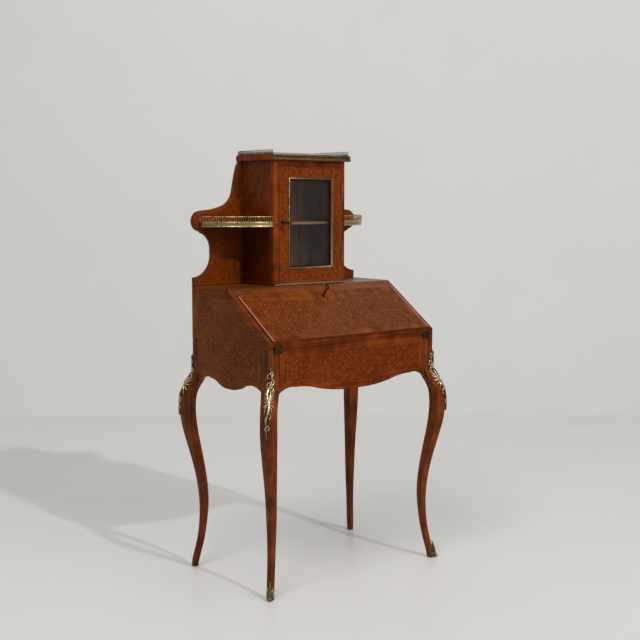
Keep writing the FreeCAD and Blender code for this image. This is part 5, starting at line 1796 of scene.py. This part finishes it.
@dataclass
class Cabinet(SubAssembly):
    """The glazed cabinet with its door, hinges, lock and galleried top."""

    keyhole: Vector = field(default_factory=lambda: Vector((-104.5, 19.998, 1073.04)) * MM)
    door_spacing: float = 3.5 * MM
    rebate: float = 5 * MM

    # Sections in mm: how far in from the edge or back from the front, and how deep or high
    glass_moulding = (
        (0.0, 7.0), (0.0, 0.9), (0.5, 0.2), (1.6, 0.0), (2.6, 0.5), (3.2, 1.6), (4.4, 2.5),
        (6.0, 2.9), (7.2, 2.6), (7.8, 2.0), (8.6, 2.0), (9.3, 2.6), (9.5, 3.4), (9.5, 7.0),
    )
    front_moulding = (
        (5.0, 0.6), (2.2, 0.6), (0.7, 1.6), (0.1, 3.4), (0.1, 5.4), (0.8, 7.4), (2.2, 8.4),
        (3.8, 9.2), (4.0, 10.6), (2.8, 11.8), (1.2, 12.4), (0.4, 13.6), (0.3, 15.2), (0.9, 16.6),
        (2.2, 17.4), (5.0, 17.4),
    )
    foot_moulding = (
        (3.5, 0.0), (2.1, 0.0), (2.1, 1.3), (0.9, 1.5), (0.3, 2.1), (0.0, 3.0), (0.2, 3.9),
        (0.8, 4.6), (1.6, 4.9), (2.2, 5.0), (3.5, 5.0),
    )

    def build(self) -> None:
        """Make and dress the cabinet."""
        for side in ("left", "right"):
            self.add_panel(f"cabinet_side_{side}", "cabinet_side_parquetry", "veneer_marquetry",
                           ALONG_Y, UPRIGHT)
            self.add_board(f"cabinet_stile_{side}", "upright_veneer", "veneer_banding")
            self.add_door_panel(f"door_stile_{side}")
        for rail in ("door_rail_bottom", "door_rail_top"):
            self.add_door_panel(rail)
        self.add_board("glazing_beads", "upright_veneer", "veneer_banding", body="door")
        self.add_board("cabinet_top_rail", "level_veneer", "veneer_banding")
        self.add_board("cabinet_floor", "inside_level", "interior_wood")
        self.add_board("cabinet_shelf", "inside_level", "interior_wood")
        self.dress("cabinet_glass", "door_glass")
        self.dress("gilt", "shelf_pegs")
        self.dress("lock_iron", "door_lock_case", "door_lock_bolt")
        self.dress("hinge_brass", "door_hinge_fixed_leaves", "door_hinge_moving_leaves")
        key = Key(self.finishes, body="door_key", node="door_lock_key", out=FORWARD.copy(),
                  up=LEFTWARD.copy(), hole=self.keyhole)
        key.build()
        key.escutcheon("door")
        self.moulding()
        self.top()
        self.base()

    def add_door_panel(self, node: str) -> None:
        """Replace a stile or rail of the door by a veneered copy."""
        self.add_panel(node, "door_parquetry", "veneer_banding", UPRIGHT, ACROSS_X, body="door",
                       spacing=self.door_spacing)

    def moulding(self) -> None:
        """Make the brass moulding round the glass, mitred at its corners, with its inner band
        painted dark as the shadow by the glass.
        """
        low, high = node_box("door_moulding")
        mesh = bmesh.new()
        rings = []
        for left, bottom in ((True, True), (False, True), (False, False), (True, False)):
            ring = []
            for inset, depth in self.glass_moulding:
                x = low.x + inset * MM if left else high.x - inset * MM
                z = low.z + inset * MM if bottom else high.z - inset * MM
                ring.append(Vector((x, low.y + depth * MM, z)))
            rings.append(ring)
        join_rings(mesh, rings, closed=True)
        piece = self.add_piece("door_moulding_profiled", mesh, "moulding_brass", "gilt_brass",
                               ("door_moulding",), "door", sharp=50.0)
        # The inner band by the glass is painted dark as shadow
        painted_shade_band = 5.2 * MM
        self.also_finish(piece, "dark_brass_and_shade", lambda face: min(
            face.center.x - low.x, high.x - face.center.x,
            face.center.z - low.z, high.z - face.center.z) > painted_shade_band)

    def top(self) -> None:
        """Make the top board and the brass moulding that is let into its front edge."""
        low, high = node_box("cabinet_top")
        board = clean_copy("cabinet_top")
        for vert in board.verts:
            vert.co.y = max(vert.co.y, low.y + self.rebate)
        bmesh.ops.remove_doubles(board, verts=board.verts, dist=0.01 * MM)
        ease_edges(board, 0.5 * MM)
        self.add_piece("cabinet_top_eased", board, "level_veneer", "veneer_banding",
                       ("cabinet_top",))
        inset = 0.4 * MM
        mesh = self.strip(self.front_moulding, low.x + inset, high.x - inset, low)
        self.add_piece("cabinet_top_front_moulding", mesh, "edge_brass", "gilt_brass", sharp=50.0)

    def base(self) -> None:
        """Make the brass bead at the cabinet's foot, with the quirk under it painted dark as
        shadow.
        """
        low, high = node_box("base_moulding")
        mesh = self.strip(self.foot_moulding, low.x, high.x, low)
        piece = self.add_piece("base_moulding_profiled", mesh, "gilt", "gilt_brass",
                               ("base_moulding",), sharp=50.0)
        # The quirk's faces are painted dark as its shadow
        shaded_quirk = low.z + 1.45 * MM
        self.also_finish(piece, "dark_brass_and_shade", lambda face: face.center.z < shaded_quirk)

    def strip(self, profile: Sequence[Point], start: float, end: float, corner: Vector) -> Mesh:
        """Run a section along X.

        Args:
            profile: The section: how far back and how high from the corner, in mm.
            start: Where it starts.
            end: Where it ends.
            corner: The section's front lower corner.

        Returns:
            The mesh.
        """
        mesh = bmesh.new()
        join_rings(mesh, [[Vector((x, corner.y + depth * MM, corner.z + height * MM))
                           for depth, height in profile] for x in (start, end)])
        return mesh


@dataclass
class TopGallery(SubAssembly):
    """The pierced gallery round the cabinet's top."""

    pitch: float = 10.8 * MM
    leg: float = 2.3 * MM
    crown: float = 0.75 * MM
    sill: float = 3.6 * MM
    sill_half: float = 0.6 * MM
    lower_rise: float = 4.2 * MM
    upper_rise: float = 5.6 * MM
    inset: float = 0.8 * MM
    flat: float = 0.34
    steps: int = 8

    # How square an arch's shoulders are, and how late its legs widen
    shoulders = 0.8
    taper = 1.5

    post = ((0.8, 0.0), (0.8, 12.6), (0.5, 13.6), (0, 14))

    def build(self) -> None:
        """Make the gallery's three runs and its posts."""
        low, high = node_box("top_gallery")
        left, right, back = low.x + self.inset, high.x - self.inset, high.y - self.inset
        feet = [Vector((x, y, low.z))
                for x, y in ((left, low.y), (left, back), (right, back), (right, low.y))]
        mesh = bmesh.new()
        for start, end in zip(feet, feet[1:]):
            self.run(mesh, start, end, high.z - low.z)
        for foot in feet:
            lathe(mesh, self.post, Matrix.Translation(foot), sides=8)
        self.add_piece("top_gallery_pierced", mesh, "pierced_brass", "gilt_brass",
                       ("top_gallery",), sharp=45.0)

    def run(self, mesh: Mesh, start: Vector, end: Vector, height: float) -> None:
        """Make one straight run of piercing.

        Args:
            mesh: The mesh to add to.
            start: One foot.
            end: The other foot.
            height: The gallery's height.
        """
        length = (end - start).length
        ahead = (end - start).normalized()
        turn = Matrix((ahead, ahead.cross(UPRIGHT), UPRIGHT)).transposed().to_4x4()
        place = Matrix.Translation(start) @ turn
        block(mesh, Vector((0, -self.sill_half, 0)), Vector((length, self.sill_half, self.sill)),
              place)
        count = max(1, round(length / self.pitch))
        pitch = length / count
        lower_foot = self.sill - self.sill_half
        upper_foot = height - self.crown - self.upper_rise
        for number in range(count):
            self.arch(mesh, place, pitch * (number + 0.5), pitch, lower_foot, self.lower_rise)
            if number:
                self.arch(mesh, place, pitch * number, pitch, upper_foot, self.upper_rise)

    def arch(self, mesh: Mesh, place: Matrix, centre: float, pitch: float, foot: float,
             rise: float) -> None:
        """Add one of the small arches that stand on each other like scales.

        Args:
            mesh: The mesh to add to.
            place: The run's frame.
            centre: The arch's middle along the run.
            pitch: Its width.
            foot: The height that it springs from.
            rise: How far it rises from there.
        """
        side = (place.to_3x3() @ ALONG_Y).normalized()
        path, radii = [], []
        for number in range(self.steps + 1):
            angle = math.pi * number / self.steps
            lift = abs(math.sin(angle)) ** self.shoulders
            along = centre - pitch / 2 * math.cos(angle)
            path.append(place @ Vector((along, 0, foot + rise * lift)))
            radii.append(between((self.leg, self.crown), lift ** self.taper))
        tube(mesh, path, radii, sides=6, flat=self.flat, outward=[side] * len(path))


@dataclass
class CornerShelf(SubAssembly):
    """A quarter-round shelf with a moulded brass band and a balustered gallery."""

    side: str = "left"
    balusters: int = 36
    baluster_in: float = 0.85 * MM
    steps: int = 48

    # The band's outer face and the rail's section, as how far in from the edge and how high in mm
    band = ((1.6, 0.0), (0.5, 0.0), (0.0, 0.7), (0.0, 1.7), (0.5, 2.4), (1.1, 2.9), (1.3, 5.5),
            (1.1, 8.6), (0.7, 11.0), (0.9, 12.0), (0.2, 12.6), (0.0, 13.6), (0.2, 14.8),
            (0.7, 15.6), (1.6, 16.0))
    rail = ((1.6, 29.6), (0.5, 29.5), (0.0, 30.2), (0.0, 31.0), (0.5, 31.8), (1.6, 32.0))
    baluster = ((0.75, 16.0), (0.75, 17.0), (0.45, 17.8), (0.8, 20.2), (0.75, 22.4), (0.4, 24.6),
                (0.5, 27.0), (0.75, 28.6), (0.75, 29.8))

    def build(self) -> None:
        """Make the shelf and its brass."""
        self.add_panel(f"corner_shelf_{self.side}", "top_parquetry", "veneer_marquetry", ACROSS_X,
                       ALONG_Y)
        low, high = node_box(f"shelf_gallery_{self.side}")
        corner = Vector((high.x if self.side == "left" else low.x, high.y, low.z))
        radius = high.x - low.x
        mesh = bmesh.new()
        for profile in (self.band, self.rail):
            join_rings(mesh, [[self.round_edge(corner, radius - inset * MM, number / self.steps,
                                               height * MM) for inset, height in profile]
                              for number in range(self.steps + 1)])
        for number in range(self.balusters):
            place = self.round_edge(corner, radius - self.baluster_in,
                                    (number + 0.5) / self.balusters, 0.0)
            lathe(mesh, self.baluster, Matrix.Translation(place), sides=8)
        self.add_piece(f"shelf_gallery_{self.side}_turned", mesh, "gallery_brass", "gilt_brass",
                       (f"shelf_gallery_{self.side}",), sharp=50.0)

    def round_edge(self, corner: Vector, reach: float, share: float, height: float) -> Vector:
        """A point on a quarter circle round the shelf's own corner.

        Args:
            corner: The shelf's corner, at the band's foot.
            reach: The quarter circle's radius.
            share: The share of the way round, from the side to the back board's front.
            height: The height above the corner.

        Returns:
            The point.
        """
        outward = -1 if self.side == "left" else 1
        angle = math.radians(90) * share
        return corner + Vector((outward * reach * math.cos(angle), -reach * math.sin(angle),
                                height))


# Studio


@dataclass
class Studio:
    """Floor, backdrop, lights and camera."""

    camera_place: Vector = field(default_factory=lambda: Vector((-2.204, -2.7653, 1.1414)))
    azimuth: float = 38.8586
    pitch: float = 5.9959
    lens: float = 64.3876
    sensor: float = 36.0
    wall: float = 6.0
    wall_height: float = 6.0
    floor_half: float = 9.0
    floor_behind: float = -7.0
    world: float = 0.32
    world_seen: float = 0.68

    sun_place: Vector = field(default_factory=lambda: Vector((0.3, -4.6, 3.6)))
    sun_aim: Vector = field(default_factory=lambda: Vector((0.0, 0.0, 0.6)))
    sun_power: float = 0.8
    sun_width: float = 2.0
    sun_colour: Colour = (1.0, 0.98, 0.95)
    lamp_colour: Colour = (1.0, 0.985, 0.96)
    sky_colour: Colour = (0.97, 0.98, 1.0)

    # Each soft lamp's name, its place, what it points at, its size and its power
    lamps = (
        ("front_lamp", (1.2, -4.4, 3.0), (0.0, 0.0, 0.7), 2.4, 54.0),
        ("left_lamp", (-2.5, -1.2, 4.2), (0.0, 0.0, 0.9), 1.8, 62.0),
        ("top_lamp", (0.0, -0.9, 3.7), (0.0, 0.0, 0.8), 2.6, 14.0),
    )

    def build(self) -> None:
        """Set up everything that isn't part of the desk."""
        self.floor()
        self.lights()
        self.camera()
        bpy.context.scene.view_settings.view_transform = "Standard"

    def floor(self) -> None:
        """Make a floor that turns up into a backdrop behind the desk."""
        mesh = bmesh.new()
        azimuth = math.radians(self.azimuth)
        ahead = Vector((math.sin(azimuth), math.cos(azimuth), 0.0))
        side = Vector((ahead.y, -ahead.x, 0.0))
        start = Vector((self.camera_place.x, self.camera_place.y, 0.0))
        rows = []
        for reach, height in ((self.floor_behind, 0.0), (self.wall, 0.0),
                              (self.wall, self.wall_height)):
            middle = start + ahead * reach + UPRIGHT * height
            rows.append([mesh.verts.new(middle + side * width)
                         for width in (-self.floor_half, self.floor_half)])
        for (a, b), (c, d) in zip(rows, rows[1:]):
            mesh.faces.new((a, b, d, c))
        data = bpy.data.meshes.new("studio_floor")
        mesh.to_mesh(data)
        mesh.free()
        data.materials.append(PaleBackdrop("pale_backdrop").make())
        floor = bpy.data.objects.new("studio_floor", data)
        bpy.context.collection.objects.link(floor)

    def lights(self) -> None:
        """Hang the lamps and set the world's light."""
        for name, place, aim, size, power in self.lamps:
            data = bpy.data.lights.new(name, "AREA")
            data.shape = "SQUARE"
            data.size = size
            data.energy = power
            data.color = self.lamp_colour
            self.hang(name, data, Vector(place), Vector(aim))
        data = bpy.data.lights.new("key_lamp", "SUN")
        data.angle = math.radians(self.sun_width)
        data.energy = self.sun_power
        data.color = self.sun_colour
        self.hang("key_lamp", data, self.sun_place, self.sun_aim)
        world = bpy.data.worlds.new("studio_world")
        bpy.context.scene.world = world
        world.use_nodes = True
        world.node_tree.nodes.clear()
        tree = Tree(world.node_tree)
        ray = tree.add("ShaderNodeLightPath")
        seen = tree.math("MAXIMUM", ray.outputs["Is Camera Ray"],
                         ray.outputs["Is Transmission Ray"])
        strength = tree.plus(self.world, tree.times(seen, self.world_seen - self.world))
        sky = tree.feed_all(tree.add("ShaderNodeBackground"), Color=self.sky_colour,
                            Strength=strength)
        tree.feed_all(tree.add("ShaderNodeOutputWorld"), Surface=sky.outputs[0])

    def hang(self, name: str, data: bpy.types.Light, place: Vector, aim: Vector) -> None:
        """Put a lamp in its place and turn it to what it lights.

        Args:
            name: The lamp's name.
            data: Its light.
            place: Where it hangs.
            aim: What it points at.
        """
        lamp = bpy.data.objects.new(name, data)
        lamp.location = place
        lamp.rotation_euler = (aim - place).to_track_quat("-Z", "Y").to_euler()
        bpy.context.collection.objects.link(lamp)

    def camera(self) -> None:
        """Put the camera where the photograph was taken from."""
        data = bpy.data.cameras.new("camera")
        data.lens = self.lens
        data.sensor_width = self.sensor
        camera = bpy.data.objects.new("camera", data)
        camera.location = self.camera_place
        camera.rotation_euler = (math.radians(90 - self.pitch), 0.0, math.radians(-self.azimuth))
        bpy.context.collection.objects.link(camera)
        bpy.context.scene.camera = camera


def main() -> None:
    """Build the studio and every sub-assembly, and note the sizes."""
    logging.basicConfig(level=logging.INFO, format="%(name)s %(message)s", stream=sys.stdout)
    Studio().build()
    finishes = Finishes()
    parts: list[SubAssembly] = [
        Carcass(finishes), WingBoard(finishes), GiltMounts(finishes), FallFront(finishes),
        Fitting(finishes), Cabinet(finishes), TopGallery(finishes),
        CornerShelf(finishes, side="left"), CornerShelf(finishes, side="right"),
    ]
    for part in parts:
        part.build()


if __name__ == "__main__":
    main()
